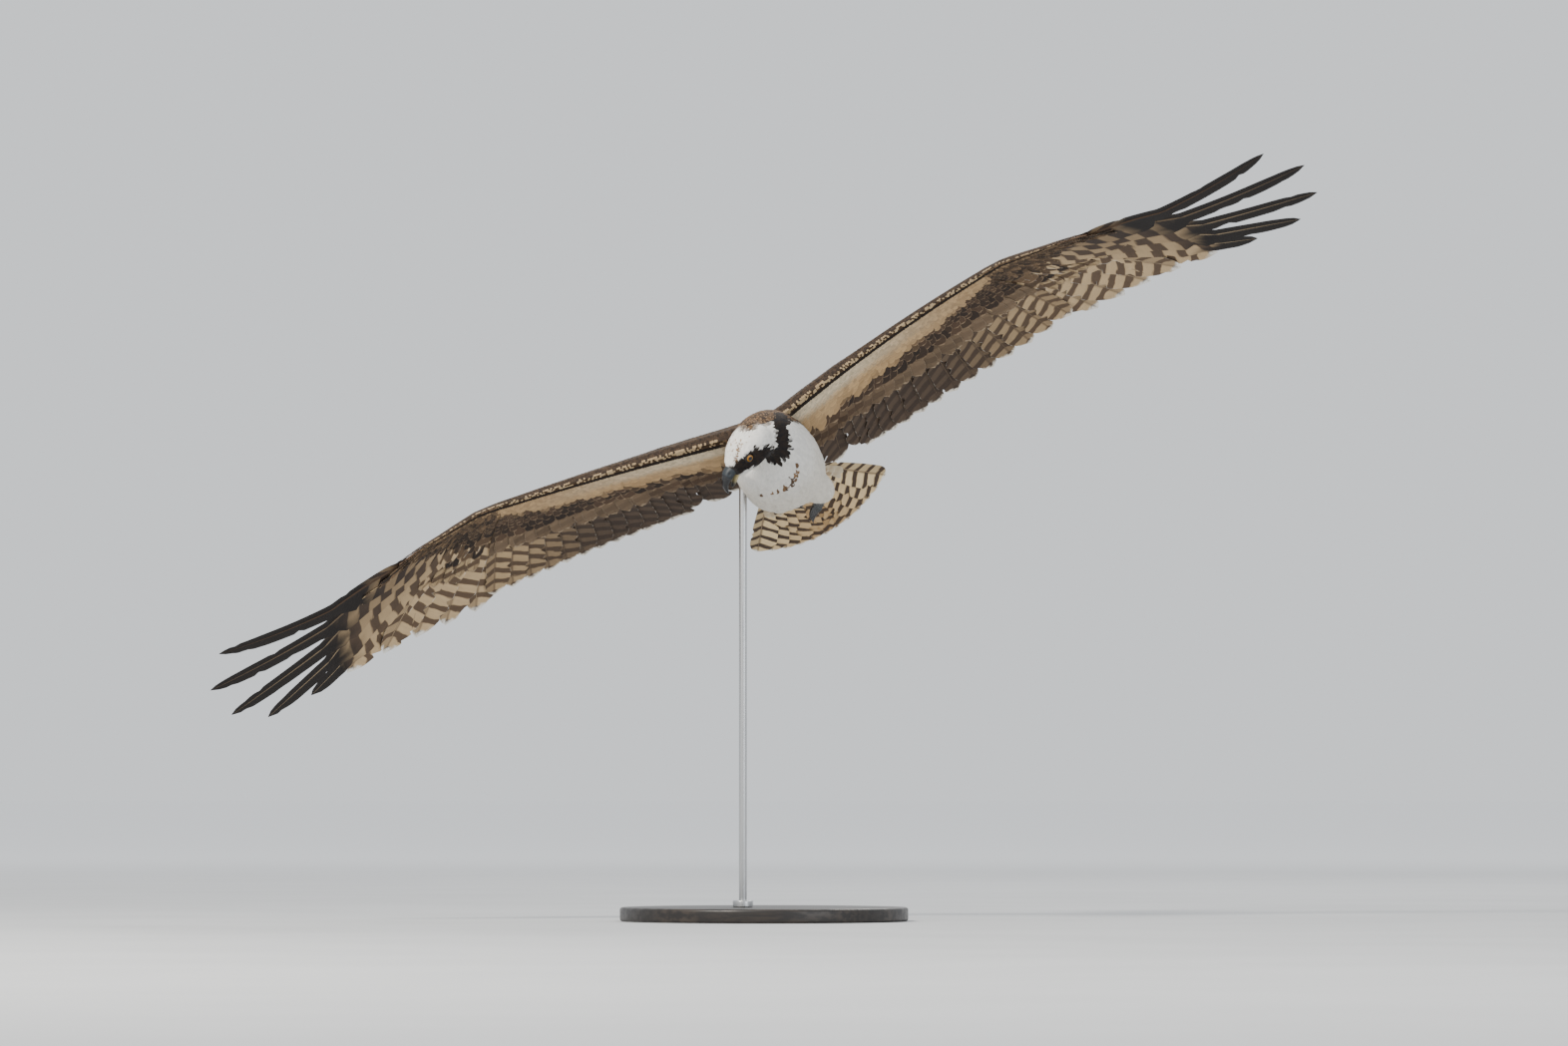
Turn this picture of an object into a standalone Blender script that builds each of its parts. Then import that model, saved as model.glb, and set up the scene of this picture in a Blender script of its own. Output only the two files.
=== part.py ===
"""Osprey in banking flight on a plain display stand, life size, wings spread."""

from math import cos, pi, radians, sin, sqrt

import bmesh
import bpy
import numpy as np

# Clearance between neighbouring solids
GAP = 0.0004

# Trunk: where its middle hangs, and how the bird flies
BODY_CENTRE = np.array((0.021, 0.0, 0.581))
YAW = radians(11.6)
NOSE_UP = radians(18.8)
BANK = radians(25.7)
TRUNK_DIP = radians(6.0)

# Head: where the middle of the skull lies, and how far it turns from straight ahead
HEAD_CENTRE = np.array((-0.0228, -0.166, 0.5985))
HEAD_YAW = radians(70.0)
HEAD_DIP = radians(52.0)
HEAD_ROLL = radians(-21.0)

# Wings: shoulder place as forward and upward distance from the trunk's middle
SHOULDER_FORWARD = 0.086
SHOULDER_UP = 0.0315
WINGS = {
    "left": dict(side=1, out=0.041, arm=0.299, sweep=7.9, rise=8.5, arch=0.006,
                 toe=6.2, drop=8.7, hand_sweep=13.5, hand_rise=-11.7, twist=-0.5),
    "right": dict(side=-1, out=0.053, arm=0.293, sweep=11.8, rise=3.6, arch=0.002,
                  toe=3.1, drop=1.2, hand_sweep=6.4, hand_rise=-11.1, twist=3.7),
}
ELBOW = 0.43
INNER_END = -0.12
HAND_LENGTH = 0.115
QUILL_BACK = 0.012
LEADING_EDGE_AHEAD = 0.014
WRIST_FAN = 72.0
TERTIALS = 4
SECONDARIES = 14
PRIMARY_FAN = (69.8, 60.8, 52.0, 43.7, 36.8, 32.7, 27.9, 19.8, 8.9, -3.6)
PRIMARY_LENGTH = (0.212, 0.214, 0.219, 0.235, 0.264, 0.301, 0.343, 0.353, 0.335, 0.291)
SLOT_START = (0.204, 0.207, 0.213, 0.228, 0.248, 0.246, 0.215, 0.188, 0.144)
HAND_COVER = (0.088, 0.086, 0.085, 0.085, 0.086, 0.086, 0.084, 0.080, 0.070, 0.055)
FIRST_FINGER = 5
FINGER_CLEARANCE = 0.0015
CHORD = ((-0.2, 0.150), (0.05, 0.160), (0.20, 0.184), (0.27, 0.172), (0.36, 0.200),
         (0.50, 0.207), (0.75, 0.200), (1.0, 0.202))
COVER_SHARE = ((-0.2, 0.60), (0.3, 0.50), (1.0, 0.42))
SCALLOP = 0.006
TIP_RISE = 0.60
TIP_RISE_FROM = 0.185
TIP_RISE_SPAN = 0.30
CAMBER = 0.055
VANE_THICKNESS = 0.0014


def unit(vector):
    vector = np.asarray(vector, float)
    return vector / np.linalg.norm(vector)


def blend(first, second, share):
    return first + (second - first) * share


def turn(first, second, share):
    """Direction part of the way from one direction to another."""
    angle = np.arccos(np.clip(np.dot(first, second), -1.0, 1.0))
    if angle < 1e-6:
        return first
    return (sin((1 - share) * angle) * first + sin(share * angle) * second) / sin(angle)


def along(table, place):
    """Value at a place in a short table of (place, value) pairs."""
    return float(np.interp(place, [row[0] for row in table], [row[1] for row in table]))


def flight_frame(yaw, nose_up, bank):
    """Forward, left and up directions of a bird that faces -Y before it turns."""
    forward = np.array((-sin(yaw) * cos(nose_up), -cos(yaw) * cos(nose_up), sin(nose_up)))
    level_left = unit(np.cross((0.0, 0.0, 1.0), forward))
    level_up = np.cross(forward, level_left)
    left = cos(bank) * level_left + sin(bank) * level_up
    return forward, left, np.cross(forward, left)


FORWARD, LEFT, UP = flight_frame(YAW, NOSE_UP, BANK)
TRUNK_FORWARD = cos(TRUNK_DIP) * FORWARD - sin(TRUNK_DIP) * UP
TRUNK_UP = cos(TRUNK_DIP) * UP + sin(TRUNK_DIP) * FORWARD
HEAD_FORWARD, HEAD_LEFT, HEAD_UP = flight_frame(HEAD_YAW, -HEAD_DIP, HEAD_ROLL)


def body_point(forward, left, up):
    return BODY_CENTRE + forward * TRUNK_FORWARD + left * LEFT + up * TRUNK_UP


def head_point(forward, left, up):
    return HEAD_CENTRE + forward * HEAD_FORWARD + left * HEAD_LEFT + up * HEAD_UP


class Wing:
    """Plan of one spread wing: directions, columns from leading edge to feather tip."""

    def __init__(self, name, side, out, arm, sweep, rise, arch, toe, drop,
                 hand_sweep, hand_rise, twist):
        self.name = name
        self.side = side
        self.out = LEFT * side
        self.arch = arch
        self.shoulder = (BODY_CENTRE + SHOULDER_FORWARD * FORWARD + out * self.out
                         + SHOULDER_UP * UP)
        self.arm_line = arm * self.heading(sweep, rise)
        toe, drop = radians(toe), radians(drop)
        self.arm_chord = cos(drop) * (-cos(toe) * FORWARD - sin(toe) * self.out) - sin(drop) * UP
        self.wrist = self.shoulder + self.arm_line
        self.hand = self.heading(hand_sweep, hand_rise)
        square = unit(-FORWARD + np.dot(FORWARD, self.hand) * self.hand)
        across = np.cross(self.hand, square)
        self.back = cos(radians(twist)) * square + sin(radians(twist)) * across
        self.hand_up = unit(np.cross(self.hand, self.back)) * side
        self.arm_up = unit(np.cross(self.arm_line, self.arm_chord)) * side
        self.joint_up = unit(self.arm_up + self.hand_up)
        self.joint_chord = self.fan(WRIST_FAN)

    def heading(self, sweep, rise):
        sweep, rise = radians(sweep), radians(rise)
        level = cos(sweep) * self.out + sin(sweep) * FORWARD
        return cos(rise) * level + sin(rise) * UP

    def fan(self, angle):
        """Direction in the hand's plane, turned from the hand towards the back."""
        return cos(radians(angle)) * self.hand + sin(radians(angle)) * self.back

    def leading_edge(self, s):
        bow = 4 * s * (1 - s) * self.arch if 0 < s < 1 else 0.0
        return self.shoulder + s * self.arm_line + bow * UP

    def arm_column(self, s, notch):
        """Leading edge, covert end and feather end of a slice across the arm."""
        share = max(0.0, (s - ELBOW) / (1 - ELBOW))
        direction = turn(self.arm_chord, self.joint_chord, share ** 1.5)
        up = turn(self.arm_up, self.joint_up, max(0.0, (s - 0.5) / 0.5))
        chord = along(CHORD, s) - (SCALLOP if notch else 0.0)
        start = self.leading_edge(s)
        cover = start + direction * along(CHORD, s) * along(COVER_SHARE, s)
        return start, cover, start + direction * chord, up

    def hand_point(self, outward, backward):
        ahead = max(0.0, outward - TIP_RISE_FROM)
        rise = TIP_RISE * ahead ** 2 * (1 - backward / TIP_RISE_SPAN)
        return self.wrist + outward * self.hand + backward * self.back + rise * self.hand_up

    def primary_line(self, k):
        """Root and fan angle of a place between primaries, in the hand's plane."""
        outward = HAND_LENGTH * blend(0.06, 1.0, k / 9)
        return np.array((outward, QUILL_BACK)), float(np.interp(k, range(10), PRIMARY_FAN))

    def primary_point(self, k, distance):
        root, angle = self.primary_line(k)
        plan = root + distance * np.array((cos(radians(angle)), sin(radians(angle))))
        return self.hand_point(*plan)

    def hand_column(self, k, reach):
        cover = float(np.interp(k, range(10), HAND_COVER))
        root, _ = self.primary_line(k)
        start = self.hand_point(root[0], -LEADING_EDGE_AHEAD * min(1.0, 0.3 + k / 3))
        return start, self.primary_point(k, cover), self.primary_point(k, reach), self.hand_up

    def arm_stations(self):
        """Places of feather tips and of the notches between them, along the arm."""
        count = TERTIALS + SECONDARIES
        tips = [blend(INNER_END, 0.24, k / (TERTIALS - 0.5)) for k in range(TERTIALS)]
        tips += [blend(0.30, 0.975, k / (SECONDARIES - 1)) for k in range(SECONDARIES)]
        stations = []
        for k in range(count):
            stations.append((tips[k], False))
            if k < count - 1:
                stations.append(((tips[k] + tips[k + 1]) / 2, True))
        return stations + [(1.0, True)]

    def hand_stations(self):
        """Columns of the hand: feather number, counted from 0, and how far it reaches."""
        stations = [(0, PRIMARY_LENGTH[0])]
        for k in range(9):
            stations.append((k + 0.5, SLOT_START[k]))
            if k + 1 < FIRST_FINGER:
                stations.append((k + 1, PRIMARY_LENGTH[k + 1]))
            elif k < 8:
                stations.append((k + 1, (SLOT_START[k] + SLOT_START[k + 1]) / 2 - 0.003))
        return stations + [(9, SLOT_START[8] - 0.004)]


def bow(share):
    """Height of a cambered slice, as a share of its length."""
    return 4 * CAMBER * share * (1 - share)


def wing_point(column, cover_part, vane_part, lift=0.0):
    """Point on a slice: up to 1 in cover_part it runs to the covert end, then in vane_part."""
    start, cover, end, up = column
    front = np.linalg.norm(cover - start)
    rear = np.linalg.norm(end - cover)
    share = (front * cover_part + rear * vane_part) / (front + rear)
    place = blend(start, cover, cover_part) + vane_part * (end - cover)
    return place + up * (bow(share) * (front + rear) + lift)


# Trunk sections: forward, half width, height above and depth below the axis, axis lift
TRUNK = ((-0.172, 0.034, 0.006, 0.004, 0.040), (-0.150, 0.036, 0.010, 0.009, 0.035),
         (-0.115, 0.040, 0.021, 0.020, 0.024), (-0.070, 0.050, 0.037, 0.038, 0.010),
         (-0.020, 0.056, 0.048, 0.053, 0.001), (0.030, 0.057, 0.053, 0.056, 0.0),
         (0.070, 0.054, 0.053, 0.053, 0.0), (0.100, 0.048, 0.049, 0.048, 0.0))
NECK_START = 0.100
NECK_STEPS = 6
# Head sections: forward, half width, height above and depth below the eye line
HEAD = ((-0.0390, 0.0080, 0.0085, 0.0080), (-0.0350, 0.0175, 0.0180, 0.0170),
        (-0.0250, 0.0240, 0.0243, 0.0235), (-0.0100, 0.0262, 0.0260, 0.0255),
        (0.0040, 0.0242, 0.0250, 0.0240), (0.0150, 0.0205, 0.0215, 0.0210),
        (0.0240, 0.0155, 0.0160, 0.0175), (0.0311, 0.0105, 0.0105, 0.0135))
# Neck end: place in the head and half size of the last ring, which the head covers
NECK_END = (-0.010, 0.0, -0.002)
NECK_END_SIZE = 0.0235
RING = 20
EYE_PLACE = (0.0085, 0.0165, 0.0035)
EYE_RADIUS = 0.0072
ORBIT_PLACE = (0.0095, 0.0265, 0.0035)
ORBIT_SIZE = (0.0085, 0.0062, 0.0080)
# Bill outlines as (forward, up) in the head, from the face to the tip, and half widths
CULMEN = ((0.0315, 0.0075), (0.0395, 0.0066), (0.0485, 0.0024), (0.0545, -0.0050),
          (0.0565, -0.0130), (0.0556, -0.0190))
UPPER_EDGE = ((0.0315, -0.0060), (0.0380, -0.0066), (0.0440, -0.0078), (0.0490, -0.0098),
              (0.0525, -0.0140), (0.0550, -0.0187))
UPPER_HALF_WIDTH = (0.0084, 0.0078, 0.0064, 0.0045, 0.0025, 0.0006)
LOWER_EDGE = ((0.0315, -0.0066), (0.0400, -0.0102), (0.0470, -0.0150))
KEEL = ((0.0315, -0.0124), (0.0393, -0.0156), (0.0462, -0.0172))
LOWER_HALF_WIDTH = (0.0070, 0.0058, 0.0024)

# Tail: middle direction against the trunk's, and the spread of its twelve feathers
TAIL_START = -0.1776
TAIL_TURN = radians(6.3)
TAIL_RAISE = radians(-14.0)
TAIL_ROLL = radians(4.1)
TAIL_FEATHERS = 12
TAIL_LENGTH = 0.172
TAIL_HALF_BASE = 0.035
TAIL_HALF_SPREAD = radians(25.6)
TAIL_CUP = 0.028

# Legs, in trunk coordinates for the left side
THIGH = ((-0.022, 0.031, -0.030, 0.024), (-0.055, 0.043, -0.035, 0.019),
         (-0.083, 0.048, -0.034, 0.011))
SHANK = ((-0.0885, 0.0487, -0.0332), (-0.1245, 0.0447, -0.0210))
SHANK_RADIUS = 0.0052
FOOT = (-0.1325, 0.0435, -0.0170)
TOE_RADIUS = 0.0040
TOE_SPREAD = (-0.0150, -0.0050, 0.0050, 0.0150)
CLAW_LENGTH = 0.017

# How each leg is drawn in: forward shift, share of the outward place, lift, curl of the toes
LEG_TUCK = {"left": (0.0, 0.80, 0.004, 0.65), "right": (0.010, 0.45, 0.012, 0.30)}

# Stand
BASE_RADIUS = 0.185
BASE_HEIGHT = 0.018
BASE_BEVEL = 0.003
ROD_PLACE = (-0.027, -0.020)
ROD_RADIUS = 0.005
ROD_TOP = 0.583
ROD_CLEARANCE = 0.0003
SOCKET_DEPTH = 0.010
COLLAR_RADIUS = 0.013
COLLAR_HEIGHT = 0.009

COLOURS = {
    "white feathers": ((0.78, 0.74, 0.66, 1.0), 0.85, 0.0),
    "brown feathers": ((0.16, 0.11, 0.08, 1.0), 0.80, 0.0),
    "barred feathers": ((0.36, 0.29, 0.21, 1.0), 0.80, 0.0),
    "dark feathers": ((0.055, 0.045, 0.040, 1.0), 0.75, 0.0),
    "bill": ((0.03, 0.03, 0.035, 1.0), 0.30, 0.0),
    "iris": ((0.55, 0.33, 0.05, 1.0), 0.10, 0.0),
    "leg scales": ((0.50, 0.53, 0.52, 1.0), 0.55, 0.0),
    "claw": ((0.03, 0.03, 0.03, 1.0), 0.30, 0.0),
    "stand base": ((0.025, 0.025, 0.027, 1.0), 0.45, 0.0),
    "stand steel": ((0.55, 0.55, 0.56, 1.0), 0.35, 1.0),
}


def clear_scene():
    for item in list(bpy.data.objects):
        bpy.data.objects.remove(item, do_unlink=True)


def material(name):
    existing = bpy.data.materials.get(name)
    if existing:
        return existing
    colour, roughness, metallic = COLOURS[name]
    made = bpy.data.materials.new(name)
    made.use_nodes = True
    shader = made.node_tree.nodes["Principled BSDF"]
    shader.inputs["Base Color"].default_value = colour
    shader.inputs["Roughness"].default_value = roughness
    shader.inputs["Metallic"].default_value = metallic
    made.diffuse_color = colour
    return made


def finish(bm, name, finish_name, smooth=False):
    """Turn a bmesh into a named object with outward normals."""
    bm.normal_update()
    bmesh.ops.recalc_face_normals(bm, faces=bm.faces)
    mesh = bpy.data.meshes.new(name)
    bm.to_mesh(mesh)
    bm.free()
    made = bpy.data.objects.new(name, mesh)
    bpy.context.scene.collection.objects.link(made)
    if finish_name:
        made.data.materials.append(material(finish_name))
    if smooth:
        for face in mesh.polygons:
            face.use_smooth = True
    return made


def loft(name, rings, finish_name, smooth=True):
    """Closed solid through rings of equal point count, flat caps at both ends."""
    bm = bmesh.new()
    rows = [[bm.verts.new(tuple(point)) for point in ring] for ring in rings]
    count = len(rows[0])
    for first, second in zip(rows, rows[1:]):
        for k in range(count):
            j = (k + 1) % count
            bm.faces.new((first[k], first[j], second[j]))
            bm.faces.new((first[k], second[j], second[k]))
    for row in (rows[0], rows[-1]):
        centre = bm.verts.new(sum((v.co for v in row), row[0].co * 0) / count)
        for k in range(count):
            bm.faces.new((row[k], row[(k + 1) % count], centre))
    return finish(bm, name, finish_name, smooth)


def sheet(name, grid, ups, thickness, finish_name):
    """Closed plate of even thickness on a grid of points; ups gives each column's normal."""
    rings = []
    for column, up in zip(grid, ups):
        top = [point + up * thickness / 2 for point in column]
        under = [point - up * thickness / 2 for point in column]
        rings.append(top + under[::-1])
    return loft_plain(name, rings, finish_name)


def loft_plain(name, rings, finish_name):
    """Closed solid through rings whose ends are closed by strips across the ring."""
    bm = bmesh.new()
    rows = [[bm.verts.new(tuple(point)) for point in ring] for ring in rings]
    count = len(rows[0])
    for first, second in zip(rows, rows[1:]):
        for k in range(count):
            j = (k + 1) % count
            bm.faces.new((first[k], first[j], second[j]))
            bm.faces.new((first[k], second[j], second[k]))
    for row in (rows[0], rows[-1]):
        for k in range(count // 2 - 1):
            bm.faces.new((row[k], row[k + 1], row[count - 2 - k], row[count - 1 - k]))
    return finish(bm, name, finish_name)


def oval(centre, side, up, half_width, above, below, roundness=2.2, count=RING):
    """Ring of points: a rounded oval with its own height above and below the axis."""
    ring = []
    for k in range(count):
        angle = 2 * pi * k / count
        across = abs(cos(angle)) ** (2 / roundness) * (1 if cos(angle) > 0 else -1)
        rise = abs(sin(angle)) ** (2 / roundness) * (1 if sin(angle) > 0 else -1)
        height = above if rise > 0 else below
        ring.append(centre + side * across * half_width + up * rise * height)
    return ring


def cut(target, cutter, operation="DIFFERENCE"):
    """Take one closed solid away from another, or join it on."""
    cutter.hide_render = True
    cutter.display_type = "WIRE"
    step = target.modifiers.new("with " + cutter.name, "BOOLEAN")
    step.operation = operation
    step.solver = "EXACT"
    step.object = cutter


def trunk_rings(swell=0.0):
    return [oval(body_point(x, 0, lift), LEFT, TRUNK_UP, w + swell, a + swell, b + swell)
            for x, w, a, b, lift in TRUNK]


def neck_rings(swell=0.0, start=0.0):
    """Rings that bend from the front of the trunk into the skull."""
    first = body_point(NECK_START + start, 0, 0)
    last = head_point(*NECK_END)
    reach = 1.1 * np.linalg.norm(last - first)
    arrive = unit(0.45 * TRUNK_FORWARD + HEAD_FORWARD)
    rings = []
    for k in range(NECK_STEPS + 1):
        t = k / NECK_STEPS
        ease = t * t * (3 - 2 * t)
        centre = ((2 * t ** 3 - 3 * t ** 2 + 1) * first
                  + (t ** 3 - 2 * t ** 2 + t) * reach * TRUNK_FORWARD
                  + (3 * t ** 2 - 2 * t ** 3) * last + (t ** 3 - t ** 2) * reach * arrive)
        heading = unit(turn(TRUNK_FORWARD, arrive, ease))
        side = unit(LEFT - np.dot(LEFT, heading) * heading)
        up = np.cross(heading, side)
        sizes = [blend(size, NECK_END_SIZE, ease ** 0.8) + swell for size in TRUNK[-1][1:4]]
        rings.append(oval(centre, side, up, *sizes))
    return rings


def head_rings(swell=0.0):
    rings = [oval(head_point(x, 0, 0), HEAD_LEFT, HEAD_UP, w + swell, a + swell, b + swell)
             for x, w, a, b in HEAD]
    return rings


def ball(name, centre, sizes, axes, finish_name, segments=12, rings=8):
    """Ellipsoid with its poles on the second axis."""
    bm = bmesh.new()
    bmesh.ops.create_uvsphere(bm, u_segments=segments, v_segments=rings, radius=1.0)
    first, pole, third = axes
    for vert in bm.verts:
        x, y, z = vert.co
        vert.co = centre + x * sizes[0] * first + z * sizes[1] * pole + y * sizes[2] * third
    return finish(bm, name, finish_name, smooth=True)


def make_body():
    trunk = loft("trunk", trunk_rings(), "white feathers")
    neck = loft("neck", neck_rings(start=GAP), "white feathers")
    head = loft("head", head_rings(), "white feathers")
    cut(neck, loft("head_clearance", head_rings(GAP), None))
    clearance = loft("body_clearance", trunk_rings(GAP) + neck_rings(GAP)[1:], None)
    return trunk, neck, head, clearance


def make_eyes(head):
    axes = (HEAD_FORWARD, HEAD_LEFT, HEAD_UP)
    for side, name in ((1, "left"), (-1, "right")):
        place = head_point(EYE_PLACE[0], EYE_PLACE[1] * side, EYE_PLACE[2])
        orbit = head_point(ORBIT_PLACE[0], ORBIT_PLACE[1] * side, ORBIT_PLACE[2])
        cut(head, ball("orbit_" + name, orbit, ORBIT_SIZE, axes, None))
        room = [EYE_RADIUS + GAP] * 3
        cut(head, ball("eye_room_" + name, place, room, axes, None))
        ball("eye_" + name, place, [EYE_RADIUS] * 3, axes, "iris")


def spline(points, t):
    """Point at a share of the way along a smooth curve through a few points."""
    last = len(points) - 1
    k = min(int(t * last), last - 1)
    u = t * last - k
    rows = [np.array(points[min(max(k + j, 0), last)], float) for j in (-1, 0, 1, 2)]
    return 0.5 * (2 * rows[1] + (rows[2] - rows[0]) * u
                  + (2 * rows[0] - 5 * rows[1] + 4 * rows[2] - rows[3]) * u * u
                  + (3 * rows[1] - rows[0] - 3 * rows[2] + rows[3]) * u ** 3)


def bill_rings(top_edge, low_edge, half_widths, steps):
    """Ovals between the upper and lower outline of one half of the bill."""
    rings = []
    for k in range(steps):
        t = k / (steps - 1)
        top = head_point(*np.insert(spline(top_edge, t), 1, 0.0))
        low = head_point(*np.insert(spline(low_edge, t), 1, 0.0))
        half = np.linalg.norm(top - low) / 2
        width = float(np.interp(t, np.linspace(0, 1, len(half_widths)), half_widths))
        rings.append(oval((top + low) / 2, HEAD_LEFT, unit(top - low), width, half, half, 2.1, 12))
    return rings


def make_bill():
    loft("bill_upper", bill_rings(CULMEN, UPPER_EDGE, UPPER_HALF_WIDTH, 9), "bill")
    loft("bill_lower", bill_rings(LOWER_EDGE, KEEL, LOWER_HALF_WIDTH, 5), "bill")


def section(column, thickness, end_thickness):
    """Wing section from leading edge to covert end: rounded in front, thin behind."""
    profile = ((0.0, 0.0), (0.05, 0.62), (0.18, 1.0), (0.42, 0.86), (0.72, 0.48), (1.0, 0.0))
    top = []
    under = []
    for place, share in profile:
        half = share * thickness / 2 + place * end_thickness / 2
        top.append(wing_point(column, place, 0.0, half * 1.25))
        under.append(wing_point(column, place, 0.0, -half * 0.75))
    return top + under[:0:-1]


ARM_THICKNESS = ((-0.2, 0.034), (0.15, 0.030), (0.45, 0.024), (1.0, 0.017))
HAND_THICKNESS = ((0, 0.017), (4, 0.012), (7, 0.008), (9, 0.0045))
COVER_END = 0.0026


def make_flesh(wing, name, columns, thicknesses, finish_name):
    rings = [section(column, thickness, COVER_END)
             for column, thickness in zip(columns, thicknesses)]
    return loft(name, rings, finish_name)


def shift_column(column, offset):
    return tuple(point + offset for point in column[:3]) + (column[3],)


def make_finger(wing, k):
    """One free outer primary, from the slots beside it to its rounded tip."""
    root, angle = wing.primary_line(k)
    inner = wing.primary_line(k - 0.5)
    outer = wing.primary_line(min(9, k + 0.5))
    reach_inner = SLOT_START[k - 1]
    reach_outer = SLOT_START[k] if k < 9 else SLOT_START[8] - 0.004
    heading = np.array((cos(radians(angle)), sin(radians(angle))))
    square = np.array((-heading[1], heading[0]))

    def plan(line, distance):
        start, turned = line
        return start + distance * np.array((cos(radians(turned)), sin(radians(turned))))

    if k == 9:
        outer_base = root + (reach_outer + 0.002) * heading - 0.009 * square
    else:
        outer_base = plan(outer, reach_outer)
    inner_base = plan(inner, reach_inner)
    begin = max(reach_inner, reach_outer)
    length = PRIMARY_LENGTH[k]
    half_widths = ((0.0, 0.0150), (0.25, 0.0138), (0.60, 0.0125), (0.82, 0.0100),
                   (0.93, 0.0068), (0.985, 0.0028), (1.0, 0.0010))
    grid = []
    for row, (share, half) in enumerate(half_widths):
        middle = root + blend(begin, length, share) * heading
        if row == 0:
            low, high = outer_base, inner_base
            low = low + GAP * square + FINGER_CLEARANCE * heading
            high = high - GAP * square + FINGER_CLEARANCE * heading
        else:
            low = middle - 0.85 * half * square
            high = middle + 1.15 * half * square
        grid.append([wing.hand_point(*blend(low, high, t)) for t in (0.0, 0.3, 0.65, 1.0)])
    ups = [wing.hand_up] * len(grid)
    return sheet("wing_%s_primary_%d" % (wing.name, k + 1), grid, ups,
                 VANE_THICKNESS * 0.8, "dark feathers")


def make_wing(name, clearance):
    wing = Wing(name, **WINGS[name])
    arm = [wing.arm_column(s, notch) for s, notch in wing.arm_stations()]
    places = [s for s, _ in wing.arm_stations()]
    hand = [wing.hand_column(k, reach) for k, reach in wing.hand_stations()]
    numbers = [k for k, _ in wing.hand_stations()]
    apart = unit(wing.arm_line) * GAP / 2

    split = min(range(len(places)), key=lambda i: abs(places[i] - ELBOW))
    flesh_inner = arm[:split] + [shift_column(arm[split], -apart)]
    flesh_outer = [shift_column(arm[split], apart)] + arm[split + 1:-1]
    flesh_outer += [shift_column(arm[-1], -apart)]
    places_inner = places[:split + 1]
    places_outer = places[split:]
    upper = make_flesh(wing, "wing_%s_upper_arm" % name, flesh_inner,
                       [along(ARM_THICKNESS, s) for s in places_inner], "brown feathers")
    fore = make_flesh(wing, "wing_%s_forearm" % name, flesh_outer,
                      [along(ARM_THICKNESS, s) for s in places_outer], "brown feathers")
    joint = arm[-1]
    hand_flesh = [shift_column(joint, apart)] + hand
    palm = make_flesh(wing, "wing_%s_hand" % name, hand_flesh,
                      [HAND_THICKNESS[0][1]] + [along(HAND_THICKNESS, k) for k in numbers],
                      "brown feathers")

    def vane_grid(columns):
        grid = []
        for column in columns:
            rear = np.linalg.norm(column[2] - column[1])
            grid.append([wing_point(column, 1.0, max(GAP / rear, t))
                         for t in (0.0, 0.33, 0.66, 1.0)])
        return grid

    arm_vanes = arm[:-1] + [shift_column(arm[-1], -apart)]
    hand_vanes = [shift_column(joint, apart)] + hand
    vanes = sheet("wing_%s_secondaries" % name, vane_grid(arm_vanes),
                  [column[3] for column in arm_vanes], VANE_THICKNESS, "brown feathers")
    inner_fan = sheet("wing_%s_primaries" % name, vane_grid(hand_vanes),
                      [column[3] for column in hand_vanes], VANE_THICKNESS, "barred feathers")
    for k in range(FIRST_FINGER, 10):
        make_finger(wing, k)
    for item in (upper, vanes):
        cut(item, clearance)
    return wing, (upper, fore, palm, vanes, inner_fan)


def make_tail():
    frame_forward = unit(cos(TAIL_RAISE) * (cos(TAIL_TURN) * TRUNK_FORWARD - sin(TAIL_TURN) * LEFT)
                         - sin(TAIL_RAISE) * TRUNK_UP)
    side = unit(LEFT - np.dot(LEFT, frame_forward) * frame_forward)
    up = np.cross(frame_forward, side)
    side = cos(TAIL_ROLL) * side + sin(TAIL_ROLL) * up
    up = np.cross(frame_forward, side)
    start = body_point(TAIL_START, 0, TRUNK[0][4])
    grid = []
    count = 2 * TAIL_FEATHERS
    for k in range(count + 1):
        share = 2 * k / count - 1
        angle = share * TAIL_HALF_SPREAD
        root = start + side * share * TAIL_HALF_BASE
        heading = -cos(angle) * frame_forward + sin(angle) * side
        length = TAIL_LENGTH * (1 - 0.02 * share ** 2) - (0.0 if k % 2 else 0.005)
        column = []
        for t in (0.0, 0.35, 0.7, 1.0):
            lift = TAIL_CUP * share ** 2 * t
            column.append(root + heading * (GAP + t * (length - GAP)) + up * lift)
        grid.append(column)
    sheet("tail", grid, [up] * len(grid), VANE_THICKNESS, "barred feathers")


def tube(name, points, radii, finish_name, count=8, across=TRUNK_FORWARD):
    """Round solid along a short path that stays well away from the direction across."""
    rings = []
    for k, (point, radius) in enumerate(zip(points, radii)):
        ahead = points[min(k + 1, len(points) - 1)]
        behind = points[max(k - 1, 0)]
        heading = unit(ahead - behind)
        side = unit(np.cross(heading, across))
        up = np.cross(side, heading)
        rings.append(oval(point, side, up, radius, radius, radius, 2.0, count))
    return loft(name, rings, finish_name)


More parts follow.
